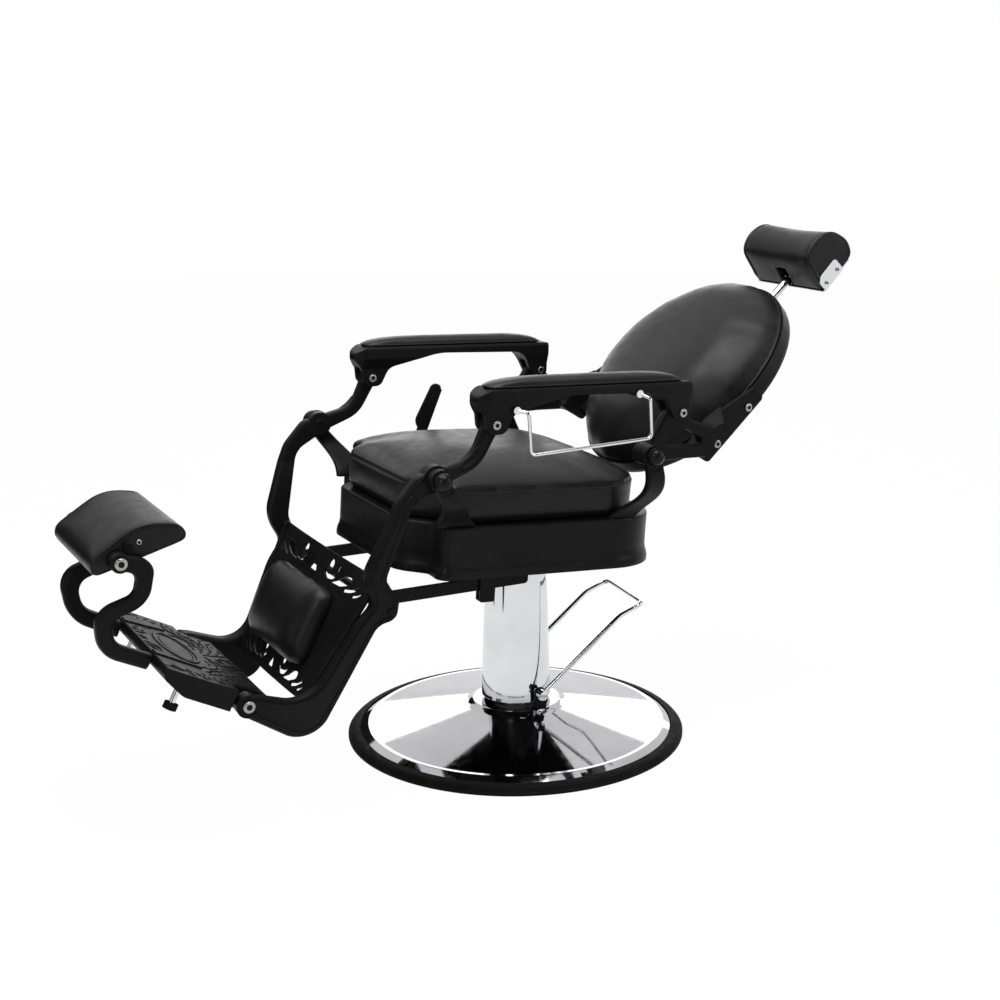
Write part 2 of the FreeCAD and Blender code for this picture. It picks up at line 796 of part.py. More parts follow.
def make_pivot_bolts(label, point):
    """Shouldered bolts with ball heads that the legs and the back turn on."""
    radius = size("pivot_bolt_radius")
    inner = size("arm_spacing") / 2 - size("casting_width") / 2
    face = inner + size("casting_width") + size("post_gap") + size("post_width")
    ball = size("ball_radius")
    bolts = []
    for side in (LEFT, RIGHT):
        out = Vector(0, side, 0)
        shank = pin(radius, face - inner, Vector(point[0], side * inner, point[1]), out)
        head = Part.makeSphere(ball, Vector(point[0], side * (face + 5), point[1]))
        beyond = Part.makeCylinder(ball, 2 * ball, Vector(point[0], side * face, point[1]), out)
        bolts.append(shank.fuse(head.common(beyond)).removeSplitter())
    solid_node(label, Part.makeCompound(bolts))


def make_link_guide():
    """Yoke under the deck whose two slots let the link bars slide and rock."""
    tie = tie_point()
    middle = tie[0] + size("link_reach") * 0.72
    deck = size("shell_height") - size("shell_wall")
    x, z = seat_point((middle, tie[1]))
    half_height = size("link_height") / 2
    body = body_node("link_guide", SEAT)
    half = size("guide_length") / 2
    floor = z - half_height - size("guide_drop")
    sill = floor + size("guide_sill")
    head = z + half_height + size("guide_sill")
    outline = [(x - half, floor, 5), (x + half, floor, 5), (x + half, deck), (x - half, deck)]
    past = 2.5 * half
    window = [(x - past, sill), (x + past, sill), (x + past, head), (x - past, head)]
    reach = size("link_half_spacing")
    bridge = [(x - half, -reach), (x + half, -reach), (x + half, reach), (x - half, reach)]
    level = "Sizes.shell_height - Sizes.shell_wall * 2"
    pad(body, sketch_on(body, "XY_Plane", curves(bridge), level), "Sizes.shell_wall")
    for side in (LEFT, RIGHT):
        slab(body, outline, side, "Sizes.link_half_spacing", "Sizes.link_thickness * 3")
        slot(body, window, side, "Sizes.link_half_spacing", "Sizes.link_thickness + 1.2")


# Leg rest

def frame_slope():
    """How fast the leg frames draw in below their bend, per millimetre of height."""
    bend = size("leg_pivot_z") - size("bend_drop")
    return (size("arm_spacing") / 2 - size("foot_frame_half_width")) / (bend - size("foot_pivot_z"))


def frame_half_width(height):
    return size("foot_frame_half_width") + frame_slope() * (height - size("foot_pivot_z"))


def leg_outline():
    """Side view of a leg frame: up its front edge, over the arm pivot, down its rear and back.

    Both edges run straight where the frame bends.
    """
    hip = pivot("leg_pivot")
    arm = pivot("arm_front")
    tie = tie_point()
    foot = pivot("foot_pivot")
    drop = size("bend_drop")
    front = beside(hip, (-75, 35 - drop, 60), (-35, 8, 30))
    head = beside(arm, (-42, -58, 80), (-18, -5), (17, -5), (-26, -76, 70))
    rear = beside(hip, (15, -14, 20), (-50, 21 - drop, 42))
    knuckle = beside(tie, (-15, 56, 36), (18, 24, 22), (16, -22, 22), (-20, -28, 28))
    toe = beside(foot, (129, -116, 55), (-12, -18), (4, 21), (116, -18, 60))
    shin = beside(tie, (-62, -19, 80), (-32, 16, 26), (-59, 71, 66))
    return front + head + rear + knuckle + toe + shin


def rounded_slab(outline, edge, width, place):
    """A plate drawn in side view, its rims rounded off in two flats each."""
    half = width / 2
    part = edge * (1 - math.sqrt(0.5))
    rim = ((edge, half), (part, half - part), (0, half - edge))
    layers = [(shrink, -level) for shrink, level in rim] + [(shrink, level) for shrink, level in rim[::-1]]
    wires = []
    for shrink, level in layers:
        wires.append(wire(inset(outline, shrink), lambda a, b, off=level: place(a, b, off)))
    return Part.makeLoft(wires, True, True)


def above(shape, level):
    box = shape.BoundBox
    base = Vector(box.XMin, box.YMin, level)
    return shape.common(Part.makeBox(box.XLength, box.YLength, box.ZMax - level, base))


def below(shape, level):
    box = shape.BoundBox
    base = Vector(box.XMin, box.YMin, box.ZMin)
    return shape.common(Part.makeBox(box.XLength, box.YLength, level - box.ZMin, base))


def bent_slab(outline, edge, side, out):
    """A casting that stands upright above its bend and draws in below it, moved outwards by a distance."""
    straight = size("arm_spacing") / 2
    bend = size("leg_pivot_z") - size("bend_drop")
    thick = size("casting_width")

    def upright(a, b, off):
        return Vector(a, side * (straight + out) + off, b)

    def drawn_in(a, b, off):
        return Vector(a, side * (frame_half_width(b) + out) + off, b)

    upper = rounded_slab(outline, edge, thick, upright)
    lower = rounded_slab(outline, edge, thick, drawn_in)
    return above(upper, bend).fuse(below(lower, bend))


def make_leg_frames():
    """Moulded castings: parallel at the arms, drawn in below a bend, with a raised band."""
    thick = size("casting_width")
    straight = size("arm_spacing") / 2
    foot_half = size("foot_frame_half_width")
    gap = size("running_gap")
    bores = (("leg_pivot", 24, size("pivot_bolt_radius") + gap),
             ("arm_front", 17, size("arm_screw_radius") + gap))
    for side in (LEFT, RIGHT):
        out = Vector(0, side, 0)
        frame = bent_slab(leg_outline(), size("casting_edge"), side, 0)
        proud = size("moulding_height")
        raised = bent_slab(inset(leg_outline(), size("moulding_inset")), proud, side, proud)
        for name, boss, bore in bores:
            x, z = pivot(name)
            face = Vector(x, side * (straight + thick / 2), z)
            raised = raised.cut(pin(size("moulding_clear"), thick, face, out))
        frame = frame.fuse(raised)
        for name, boss, bore in bores:
            x, z = pivot(name)
            base = Vector(x, side * straight - thick / 2, z)
            frame = frame.fuse(pin(boss, thick, base, Y_AXIS)).cut(pin(bore, thick, base, Y_AXIS))
        x, z = pivot("foot_pivot")
        base = Vector(x, side * foot_half - thick / 2, z)
        frame = frame.fuse(pin(21, thick, base, Y_AXIS))
        frame = frame.cut(pin(size("foot_bolt_radius") + gap, thick * 4, base - Y_AXIS * thick, Y_AXIS))
        face = Vector(x, side * (foot_half + thick / 2), z)
        frame = frame.cut(pin(size("foot_bolt_radius") + 5, thick, face, out))
        x, z = tie_point()
        base = Vector(x, side * frame_half_width(z) - 2 * thick, z)
        frame = frame.cut(pin(size("tie_radius") + size("press_gap"), 4 * thick, base, Y_AXIS))
        solid_node("leg_frame_" + SIDE_NAMES[side], frame.removeSplitter())


def scroll_motif():
    """One side of a scroll border: (kind, points) in heights and widths from its middle."""
    return [("band", [(0, 30), (16, 21, 40), (32, 17)], 3),
            ("band", [(0, 46), (18, 36, 40), (36, 35)], 3),
            ("dot", (28, 66), 11),
            ("band", [(16, 49), (5, 66, 14), (9, 98, 22), (34, 101)], 4),
            ("leaf", [(-1, 90), (1, 130, 30), (13, 164, 9), (27, 162, 9), (23, 134, 30), (9, 113, 20)], 0),
            ("band", [(-2, 146), (5, 176, 60), (17, 197)], 3),
            ("band", [(-4, 182), (2, 199, 30), (10, 209)], 2.5)]


def scroll_cutters(level, spread, depth):
    """Prisms of both halves of a scroll border and its middle triangle."""
    def place(a, b):
        return Vector(level + a, b * spread, -depth)
    outlines = [[(0, -18, 2), (0, 18, 2), (24, 0, 2)]]
    cutters = []
    for kind, shape, extent in scroll_motif():
        if kind == "dot":
            for hand in (1, -1):
                centre = place(shape[0], shape[1] * hand)
                cutters.append(Part.makeCylinder(extent * spread, 2 * depth, centre, Z_AXIS))
            continue
        outline = band(shape, extent) if kind == "band" else shape
        outlines += [outline, [(p[0], -p[1], *p[2:]) for p in outline]]
    for outline in outlines:
        cutters.append(Part.Face(wire(outline, place)).extrude(Vector(0, 0, 2 * depth)))
    return cutters


def make_calf_rest():
    """Bowed panel pierced with two scroll borders, with a square pad between them."""
    half = size("arm_spacing") / 2
    bulge = size("calf_panel_bulge")
    thick = size("calf_panel_thickness")
    top = size("calf_panel_top")
    bottom = -size("calf_panel_bottom")
    radius = (half * half + bulge * bulge) / (2 * bulge)
    tall = top - bottom
    crest = Part.makeCylinder(radius, tall, Vector(bottom, 0, bulge - radius), Vector(1, 0, 0))
    core = Part.makeCylinder(radius - thick, tall, Vector(bottom, 0, bulge - radius), Vector(1, 0, 0))
    front = Part.makeBox(tall, 2 * half, 3 * bulge, Vector(bottom, -half, -bulge))
    borders = scroll_cutters(90, 1, 3 * bulge) + scroll_cutters(-112, 0.74, 3 * bulge)
    panel = crest.cut(core).common(front).cut(Part.makeCompound(borders))
    panel = panel.common(between_frames())
    solid_node("calf_panel", panel.removeSplitter(), CALF)
    make_calf_pad(radius, bulge)


def between_frames():
    """The space between the leg frames, in the calf rest's frame."""
    inner = size("casting_width") / 2 + size("panel_gap")
    tall = size("panel_trim")
    low = size("calf_z") - tall
    high = size("calf_z") + tall
    reach = 2 * tall
    narrow = frame_half_width(low) - inner
    broad = frame_half_width(high) - inner
    corners = [(-narrow, low), (narrow, low), (broad, high), (-broad, high)]
    face = Part.Face(wire(corners, lambda a, b: Vector(size("calf_x") - reach, a, b)))
    space = face.extrude(Vector(2 * reach, 0, 0))
    frame = Placement(Vector(size("calf_x"), 0, size("calf_z")), Rotation(Y_AXIS, -size("calf_angle")))
    return space.transformGeometry(frame.inverse().toMatrix())


def make_calf_pad(radius, bulge):
    """Square pad with soft corners; its back follows the bowed panel."""
    wide = size("calf_pad_half_width")
    tall = size("calf_pad_half_height")
    depth = size("calf_pad_thickness")
    layers = ((5, -0.35, 22), (1, 0.1, 26), (0, 0.35, 30), (6, 0.62, 34), (20, 0.83, 34), (42, 0.96, 26),
              (62, 1, 12))
    sections = []
    for shrink, level, turn in layers:
        x = tall - shrink
        y = wide - shrink
        outline = [(-x, -y, turn), (x, -y, turn), (x, y, turn), (-x, y, turn)]
        sections.append(wire(outline, lambda a, b, z=bulge + depth * level: Vector(a, b, z)))
    pad_solid = Part.makeLoft(sections, True, True)
    centre = Vector(-2 * tall, 0, bulge - radius)
    panel = Part.makeCylinder(radius + size("soft_gap"), 4 * tall, centre, Vector(1, 0, 0))
    solid_node("calf_pad", pad_solid.cut(panel), CALF)


def make_tie_and_links():
    tie = tie_point()
    outer = frame_half_width(tie[1]) + size("casting_width") / 2 + size("moulding_height") + 3
    rod = pin(size("tie_radius"), 2 * outer, Vector(tie[0], -outer, tie[1]), Y_AXIS)
    solid_node("tie_rod", rod)
    reach = size("link_reach")
    half = size("link_height") / 2
    bar = beside(tie, (0, -half), (reach, -half, 8), (reach, half, 8), (0, half))
    for side in (LEFT, RIGHT):
        body = body_node("link_bar_" + SIDE_NAMES[side])
        slab(body, bar, side, "Sizes.link_half_spacing", "Sizes.link_thickness")
        slab(body, ring(tie, half), side, "Sizes.link_half_spacing", "Sizes.link_thickness")
        bore = ring(tie, size("tie_radius") + size("running_gap"))
        slot(body, bore, side, "Sizes.link_half_spacing", "Sizes.link_thickness")


# Arms

def arm_outline():
    front = pivot("arm_front")
    rear = pivot("arm_rear")
    nose = size("arm_nose")
    tall = size("arm_height")
    rear_tall = size("arm_rear_height")
    knuckle = beside(front, (-nose, tall - 14, 9), (-nose, tall - 28, 12), (-21, 16, 16), (-18, -18, 17),
                     (18, -18, 17))
    arch = beside(front, (38, 19, 30), (150, tall - 23, 160)) + beside(rear, (-45, rear_tall - 16, 40))
    heel = beside(rear, (-18, -11, 14), (16, -11, 12), (size("arm_heel"), rear_tall, 4))
    return knuckle + arch + heel + beside(front, (26 - nose, tall, 30))


def arm_top():
    """Front end, length and downward slope in degrees of an arm's top edge."""
    front = pivot("arm_front")
    rear = pivot("arm_rear")
    start = Vector(front[0] - size("arm_nose"), 0, front[1] + size("arm_height"))
    end = Vector(rear[0] + size("arm_heel"), 0, rear[1] + size("arm_rear_height"))
    return start, start.distanceToPoint(end), math.degrees(math.atan2(start.z - end.z, end.x - start.x))


def arm_flare(side):
    """Block that is wide under the pad and narrows to the fork cheeks, round at the nose."""
    start, length, slope = arm_top()
    wide = size("arm_top_width") / 2
    cheek = size("arm_width") / 2
    deep = size("arm_taper_depth")
    sections = []
    levels = ((cheek, -3 * deep), (cheek, -deep), (wide, -size("arm_top_depth")), (wide, -5), (wide - 3, 0))
    for half, level in levels:
        nose = half * 0.95
        outline = [(-2, -half, nose), (length + 4, -half, 6), (length + 4, half, 6), (-2, half, nose)]
        sections.append(wire(outline, lambda a, b, z=level: Vector(a, b, z)))
    flare = Part.makeLoft(sections, True, True)
    nose_top = Vector(start.x, side * size("arm_spacing") / 2, start.z)
    flare.Placement = Placement(nose_top, Rotation(Y_AXIS, slope))
    return flare


def side_prism(outline, middle, width):
    """A side view given an even width about a plane."""
    face = Part.Face(wire(outline, lambda a, b: Vector(a, middle - width / 2, b)))
    return face.extrude(Vector(0, width, 0))


def make_arms():
    front = pivot("arm_front")
    rear = pivot("arm_rear")
    hole = size("arm_screw_radius") + size("press_gap")
    fork = size("casting_width") + 2 * size("fork_gap")
    wide = size("arm_top_width")
    mouths = (beside(front, (-70, -60), (48, -60), (48, 22, 6), (-70, 22)),
              beside(rear, (-44, -60), (48, -60), (48, 23), (-44, 23, 6)))
    for side in (LEFT, RIGHT):
        middle = side * size("arm_spacing") / 2
        arm = side_prism(arm_outline(), middle, wide).common(arm_flare(side))
        if side == LEFT:
            for root in towel_roots():
                inside = Vector(root.x, middle, root.z)
                arm = arm.fuse(pin(size("towel_rod_radius") + 4, wide / 2, inside, -Y_AXIS))
        for mouth in mouths:
            arm = arm.cut(side_prism(mouth, middle, fork))
        for x, z in (front, rear):
            arm = arm.cut(pin(hole, wide, Vector(x, middle - wide / 2, z), Y_AXIS))
        solid_node("arm_" + SIDE_NAMES[side], arm.removeSplitter())
        make_arm_screws(side, front, rear)
        make_arm_pad(side)
    make_towel_bar()


def make_arm_screws(side, front, rear):
    """Pivot screws through both cheeks of each fork, with a head on each side."""
    half = size("arm_width") / 2
    radius = size("arm_screw_radius")
    middle = side * size("arm_spacing") / 2
    screws = []
    for x, z in (front, rear):
        screw = pin(radius, 2 * half, Vector(x, middle - half, z), Y_AXIS)
        for face in (LEFT, RIGHT):
            base = Vector(x, middle + face * half, z)
            screw = screw.fuse(pin(radius + 2, 3, base, Vector(0, face, 0)))
        screws.append(screw.removeSplitter())
    solid_node("arm_screws_" + SIDE_NAMES[side], Part.makeCompound(screws))


def make_arm_pad(side):
    """Long low pad on the arm's sloping top."""
    start, length, slope = arm_top()
    half = size("arm_pad_width") / 2
    crown = size("arm_pad_crown")
    sections = []
    for shrink, level in ((1.5, 0), (0, 0.15), (1.2, 0.38), (4, 0.62), (9, 0.84), (15, 0.95), (21, 1)):
        nose = 16 + 5.5 * shrink
        tail = length - 12 - 4.5 * shrink
        y = half - shrink
        outline = [(nose, -y, y * 0.9), (tail, -y, y * 0.6), (tail, y, y * 0.6), (nose, y, y * 0.9)]
        height = size("soft_gap") + crown * level
        sections.append(wire(outline, lambda a, b, z=height: Vector(a, b, z)))

    def place(obj):
        seat = Vector(start.x, side * size("arm_spacing") / 2, start.z)
        obj.Placement = Placement(seat, Rotation(Y_AXIS, slope))

    solid_node("arm_pad_" + SIDE_NAMES[side], Part.makeLoft(sections, True, True), place)


def towel_roots():
    """Where the two ends of the towel bar meet the outside of the left arm."""
    front = pivot("arm_front")
    rear = pivot("arm_rear")
    face = -(size("arm_spacing") + size("arm_top_width")) / 2
    return Vector(front[0] + 36, face, front[1] + 25), Vector(rear[0] - 104, face, rear[1] + 47)


def make_towel_bar():
    """Bent rod with a collar at each end, hung on the outside of the left arm."""
    rod = size("towel_rod_radius")
    drop = size("towel_drop")
    front_root, rear_root = towel_roots()
    out = front_root.y - size("towel_reach")
    front_top = Vector(front_root.x + 18, out, front_root.z - 4)
    rear_top = Vector(rear_root.x + 17, out, rear_root.z - 9)
    front_low = Vector(front_top.x + 5, out, front_top.z - drop)
    rear_low = Vector(rear_top.x + 4, out, front_top.z - drop + 7)
    route = [(front_root, 0), (front_top, 7), (front_low, 10), (rear_low, 10), (rear_top, 7), (rear_root, 0)]
    bar = tube(route, rod)
    box = bar.BoundBox
    base = Vector(box.XMin, box.YMin, box.ZMin)
    outside = Part.makeBox(box.XLength, front_root.y - box.YMin, box.ZLength, base)
    bar = bar.common(outside)
    for root in (front_root, rear_root):
        bar = bar.fuse(pin(rod + 4, 6, root, -Y_AXIS))
    solid_node("towel_bar", bar.removeSplitter())


# Back and headrest

def oval(half_length, half_width, height):
    """Oval of four tangent arcs at one height of the back."""
    long_reach = max(half_length, half_width)
    short_reach = min(half_length, half_width)
    end_radius = short_reach * short_reach / long_reach * 0.985
    spread = long_reach ** 2 + short_reach ** 2 - 2 * long_reach * end_radius
    side_radius = spread / (2 * (short_reach - end_radius))
    centre = long_reach - end_radius
    depth = side_radius - short_reach
    span = math.hypot(centre, depth)
    joint = (centre + end_radius * centre / span, end_radius * depth / span)
    edges = []
    for along, across in ((1, 1), (-1, 1)):
        middle = (0, short_reach) if along == 1 else (-long_reach, 0)
        start = (along * joint[0], across * joint[1])
        end = (-along * joint[0], joint[1]) if along == 1 else (-joint[0], -joint[1])
        edges += [(start, middle, end)]
    edges += [tuple((-p[0], -p[1]) for p in arc) for arc in edges]
    turn = (lambda p: p) if half_length >= half_width else (lambda p: (p[1], p[0]))
    return Part.Wire([Part.Arc(*[Vector(*turn(p), height) for p in arc]).toShape() for arc in edges])


def make_back():
    length = size("back_half_length")
    width = size("back_half_width")
    thick = size("back_shell_thickness")
    rear = [(6, -thick), (2, -thick + 4), (0, -thick + 12), (0, 0)]
    shell = Part.makeLoft([oval(length - s, width - s, z) for s, z in rear], True, True)
    boss_low, boss_high = bracket_boss()
    for side in (LEFT, RIGHT):
        start = Vector(boss_low, min(side * width * 0.6, side * (width + 2)), -thick + 2)
        boss = Part.makeBox(boss_high - boss_low, width * 0.4 + 2, thick - 5, start)
        shell = shell.fuse(boss)
    solid_node("back_shell", shell.removeSplitter(), BACK)
    depth = size("back_cushion_depth")
    gap = size("soft_gap")
    border = ((0.97, 0), (0.995, 0.12), (0.985, 0.3), (1, 0.5))
    crown = [(scale, 1 - 0.5 * scale ** 4) for scale in (1, 0.95, 0.85, 0.65, 0.4, 0.15)]
    halves = []
    for profile, ruled in ((border, True), (crown, False)):
        sections = [oval(length * scale, width * scale, gap + depth * level) for scale, level in profile]
        halves.append(Part.makeLoft(sections, True, ruled))
    solid_node("back_cushion", halves[0].fuse(halves[1]).removeSplitter(), BACK)
    make_back_brackets()
    make_headrest_socket()


def bracket_boss():
    """Lower and upper end, along the back, of the bosses that carry the brackets."""
    screws = screw_heights()
    return screws[0] - 26, screws[1] + 30


def screw_heights():
    return -128, -29


def make_back_brackets():
    """Cast brackets with a window, a lug in the arm's fork, one on the post's bolt and a tail on the back."""
    hip = pivot("back_pivot")
    arm = pivot("arm_rear")
    width = size("casting_width")
    middle = size("arm_spacing") / 2
    lug = beside(arm, (-19, 10, 12), (15, 10, 12), (25, -18, 30))
    casting = lug + beside(hip, (160, 36, 40), (178, 52, 8), (142, -20, 12), (70, -17, 60), (-4, -18, 14),
                           (-8, 2, 14))
    window = beside(hip, (48, 32, 8), (41, 11, 6), (126, 4, 5), (122, 20, 6), (84, 43, 10))
    upper_end = [(*back_point(12, 4), 6), (*back_point(12, -29), 10)]
    tail = upper_end + [(*back_point(-166, -29), 8)] + beside(hip, (132, -20), (116, -8), (156, 40))
    outer_web = beside(hip, (116, -8), (132, -20), (142, -20), (174, 44), (156, 40))
    inner_web = beside(hip, (116, -8), (132, -20), (164, 0), (200, 68), (160, 44))
    thick = size("tail_thickness")
    inner = size("back_half_width") + size("tail_gap")
    screws = []
    for side in (LEFT, RIGHT):
        bracket = rounded_slab(casting, size("bracket_edge"), width,
                               lambda a, b, off, side=side: Vector(a, side * middle + off, b))
        for (x, z), boss in ((hip, 21), (arm, 15)):
            bracket = bracket.fuse(pin(boss, width, Vector(x, side * middle - width / 2, z), Y_AXIS))
        plate = rounded_slab(tail, size("bracket_edge") / 2, thick,
                             lambda a, b, off, side=side: Vector(a, side * (inner + thick / 2) + off, b))
        ends = [wire(outline, lambda a, b, y=side * reach: Vector(a, y, b))
                for outline, reach in ((outer_web, middle + width / 2), (inner_web, inner + 1))]
        bracket = bracket.fuse(plate).fuse(Part.makeLoft(ends, True, True))
        bracket = bracket.cut(side_prism(window, side * middle, width))
        holes = ((hip, size("pivot_bolt_radius") + size("running_gap")),
                 (arm, size("arm_screw_radius") + size("open_pivot_gap")))
        for (x, z), bore in holes:
            bracket = bracket.cut(pin(bore, width, Vector(x, side * middle - width / 2, z), Y_AXIS))
        solid_node("back_bracket_" + SIDE_NAMES[side], bracket.removeSplitter())
        for height in screw_heights():
            x, z = back_point(height, -14)
            screws.append(pin(8, 4, Vector(x, side * (inner + thick), z), Vector(0, side, 0)))
    solid_node("back_screws", Part.makeCompound(screws))


def make_headrest_socket():
    """Block behind the shell that the post slides in, with a thumbscrew."""
    thick = size("back_shell_thickness")
    low = size("socket_lower")
    length = size("socket_length")
    depth = size("post_depth")
    radius = size("post_radius")
    under = depth + radius + 6
    block = Part.makeBox(length, 46, under - thick, Vector(low, -23, -under))
    bore = pin(radius + size("running_gap"), length, Vector(low, 0, -depth), Vector(1, 0, 0))
    hole = pin(4 + size("press_gap"), 40, Vector(low + length / 2, 0, -depth - 40), Z_AXIS)
    solid_node("headrest_socket", block.cut(bore).cut(hole), BACK)
    down = Vector(0, 0, -1)
    stem = pin(4, 22, Vector(low + length / 2, 0, -depth - radius - 0.4), down)
    knob = pin(12, 10, Vector(low + length / 2, 0, -under - 6), down)
    solid_node("headrest_thumbscrew", stem.fuse(knob).removeSplitter(), BACK)
    hinge = size("hinge_height")
    start = size("post_lower")
    post = pin(radius, hinge - 14 - start, Vector(start, 0, -depth), Vector(1, 0, 0))
    lug = Part.makeBox(20, 12, 2 * radius, Vector(hinge - 20, -6, -depth - radius))
    eye = pin(radius, 12, Vector(hinge, -6, -depth), Y_AXIS)
    bore = pin(4 + size("running_gap"), 12, Vector(hinge, -6, -depth), Y_AXIS)
    solid_node("headrest_post", post.fuse(lug).fuse(eye).cut(bore).removeSplitter(), BACK)


def make_headrest():
    """Chrome cradle hinged on the post and a saddle-shaped cushion in it."""
    plate = size("headrest_plate")
    half = size("headrest_half_width")
    radius = size("post_radius")
    under = radius + 2.5
    start = Vector(-size("headrest_overhang"), -half, -under - plate)
    base = Part.makeBox(size("headrest_bracket_length"), 2 * half, plate, start)
    for side in (LEFT, RIGHT):
        ear_y = side * half if side == RIGHT else -half - plate
        low = -under - plate
        side_view = [(-24, low), (38, low), (38, low + 34, 8), (-24, low + 34, 16)]
        ear = side_prism(side_view, ear_y + plate / 2, plate)
        lug_y = 6.4 if side == RIGHT else -6.4 - 5
        lug = Part.makeBox(18, 5, under + plate + 8, Vector(-9, lug_y, -under - plate))
        base = base.fuse(ear).fuse(lug)
    pin_length = 2 * (6.4 + 5)
    pin_start = Vector(0, -pin_length / 2, 0)
    base = base.cut(pin(4 + size("press_gap"), pin_length, pin_start, Y_AXIS))
    solid_node("headrest_bracket", base.removeSplitter(), HEADREST)
    solid_node("headrest_hinge_pin", pin(4, pin_length, pin_start, Y_AXIS), HEADREST)
    screws = []
    for side in (LEFT, RIGHT):
        for x in (-12, 26):
            screws.append(pin(3.5, 1.5, Vector(x, side * (half + plate), -under + 9), Vector(0, side, 0)))
    solid_node("headrest_screws", Part.makeCompound(screws), HEADREST)
    make_headrest_cushion(half, under)


def headrest_profile(shrink, dip):
    """Side outline of the cushion: flat under, steep below and round over the top."""
    tall = size("headrest_height") - dip
    long = size("headrest_length")
    under = size("post_radius") + 2.5 - size("soft_gap")
    low = -size("headrest_overhang")
    points = [(low, -under, 4), (low + 0.13 * long, -under + 0.84 * tall, 16),
              (low + 0.42 * long, -under + tall, 46), (low + 0.86 * long, -under + 0.86 * tall, 40),
              (low + long, -under + 0.3 * tall, 30), (low + 0.88 * long, -under, 10)]
    return inset(points, shrink)


def make_headrest_cushion(half, under):
    """Profiles across the width: a dished middle and ends that close in to the end panels."""
    wide = half - size("soft_gap")
    dip = size("headrest_saddle")

    def profile(share, shrink, sag):
        return wire(headrest_profile(shrink, sag * dip), lambda a, b: Vector(a, share * wide, b))

    saddle = ((-0.92, 0), (-0.5, 0.7), (0, 1), (0.5, 0.7), (0.92, 0))
    cushion = Part.makeLoft([profile(share, 0, sag) for share, sag in saddle], True, False)
    for side in (LEFT, RIGHT):
        closing = [profile(side * share, shrink, 0) for share, shrink in ((0.92, 0), (0.975, 1.2), (1, 5))]
        cushion = cushion.fuse(Part.makeLoft(closing, True, True))
    outside = size("headrest_overhang") + 11
    wide = size("headrest_recess_width")
    recess = Part.makeBox(outside + size("headrest_recess_reach"), wide, under + 36,
                          Vector(-outside, -wide / 2, -under - 1))
    long = 2 * size("headrest_length")
    corner = Vector(-long, -2 * half, size("soft_gap") - 2 * under)
    under_plate = Part.makeBox(2 * long, 4 * half, under, corner)
    solid_node("headrest_cushion", cushion.cut(recess).cut(under_plate), HEADREST)


# Footrest and foot pad

def make_footplate():
    """Skirted T-shaped plate with a raised oval and two spear-shaped ribs."""
    top = size("footplate_top")
    under = top - size("footplate_depth")
    front = -size("footplate_front")
    rear = size("footplate_rear")
    wide = size("footplate_half_width")
    tail = size("footplate_tail_half_width")
    shoulder = -size("footplate_shoulder")
    wall = size("footplate_wall")
    body = body_node("footplate", FOOT)
    profile = [(front, top, 3), (rear, top, 3), (rear, under + 12, 8), (rear - 24, under),
               (front + 46, under, 30), (front, top - 20, 12)]
    sketch = sketch_on(body, "XZ_Plane", curves(profile), "-Sizes.footplate_half_width")
    pad(body, sketch, "2 * Sizes.footplate_half_width")
    for side in (LEFT, RIGHT):
        past = side * (wide + 10)
        notch = [(shoulder, side * tail), (rear + 10, side * tail), (rear + 10, past), (shoulder, past)]
        bevel = [(front - 10, side * (wide - 12)), (front + 20, past), (front - 10, past)]
        for cut in (notch, bevel):
            plan = sketch_on(body, "XY_Plane", curves(cut), "Sizes.footplate_top + 1")
            pocket(body, plan, "Sizes.footplate_depth + 2")
    hollow = mirrored([(front + wall, wide - wall, 24), (shoulder - wall, wide - wall, 5),
                       (shoulder - wall, tail - wall, 5), (rear - wall, tail - wall, 5)])
    plan = sketch_on(body, "XY_Plane", curves(hollow), "Sizes.footplate_top - Sizes.footplate_wall")
    pocket(body, plan, "Sizes.footplate_depth")
    make_plate_relief(body, front)
    bore = ring((0, 0), size("foot_bolt_radius") + size("press_gap"))
    for side in (LEFT, RIGHT):
        slot(body, bore, side, "Sizes.footplate_tail_half_width", "4 * Sizes.footplate_wall")


def make_plate_relief(body, front):
    """Raised oval frame and the two ribs that run back from the S-shaped arms."""
    middle = Vector(front / 2 - 4, 0, 0)
    for reach, width in ((92, 40), (84, 33)):
        frame = [Part.Ellipse(middle + Vector(0, reach, 0), middle + Vector(width, 0, 0), middle)]
        plan = sketch_on(body, "XY_Plane", frame, "Sizes.footplate_top - 1")
        if reach == 92:
            pad(body, plan, "3")
        else:
            plan.setExpression("AttachmentOffset.Base.z", "Sizes.footplate_top + 3")
            pocket(body, plan, "3")
    half = foot_arm_half(foot_point(front, 0)[1])
    for side in (LEFT, RIGHT):
        rib = [(front + 2, side * (half - 12)), (front + 2, side * (half + 12)),
               (front + 92, side * (half + 16))]
        pad(body, sketch_on(body, "XY_Plane", curves(rib), "Sizes.footplate_top - 1"), "4")


def foot_arm_half(height):
    """Distance of an S-shaped arm from the middle plane at a height."""
    top = size("pad_half_width") + size("pad_side_gap") + size("foot_arm_width") / 2
    return top - size("foot_arm_lean") * (size("pad_pivot_z") - height)


def foot_arm_path():
    """Middle line of an S-shaped arm in side view, from the pad's pivot into the plate."""
    top = pivot("pad_pivot")
    front = -size("footplate_front")
    bends = beside(top, (46, -14, 34), (38, -76, 36), (-30, -98, 44))
    root = [(*foot_point(front - 84, 2), 50), foot_point(front + 2 * size("foot_arm_edge"), 2)]
    return [top] + bends + root


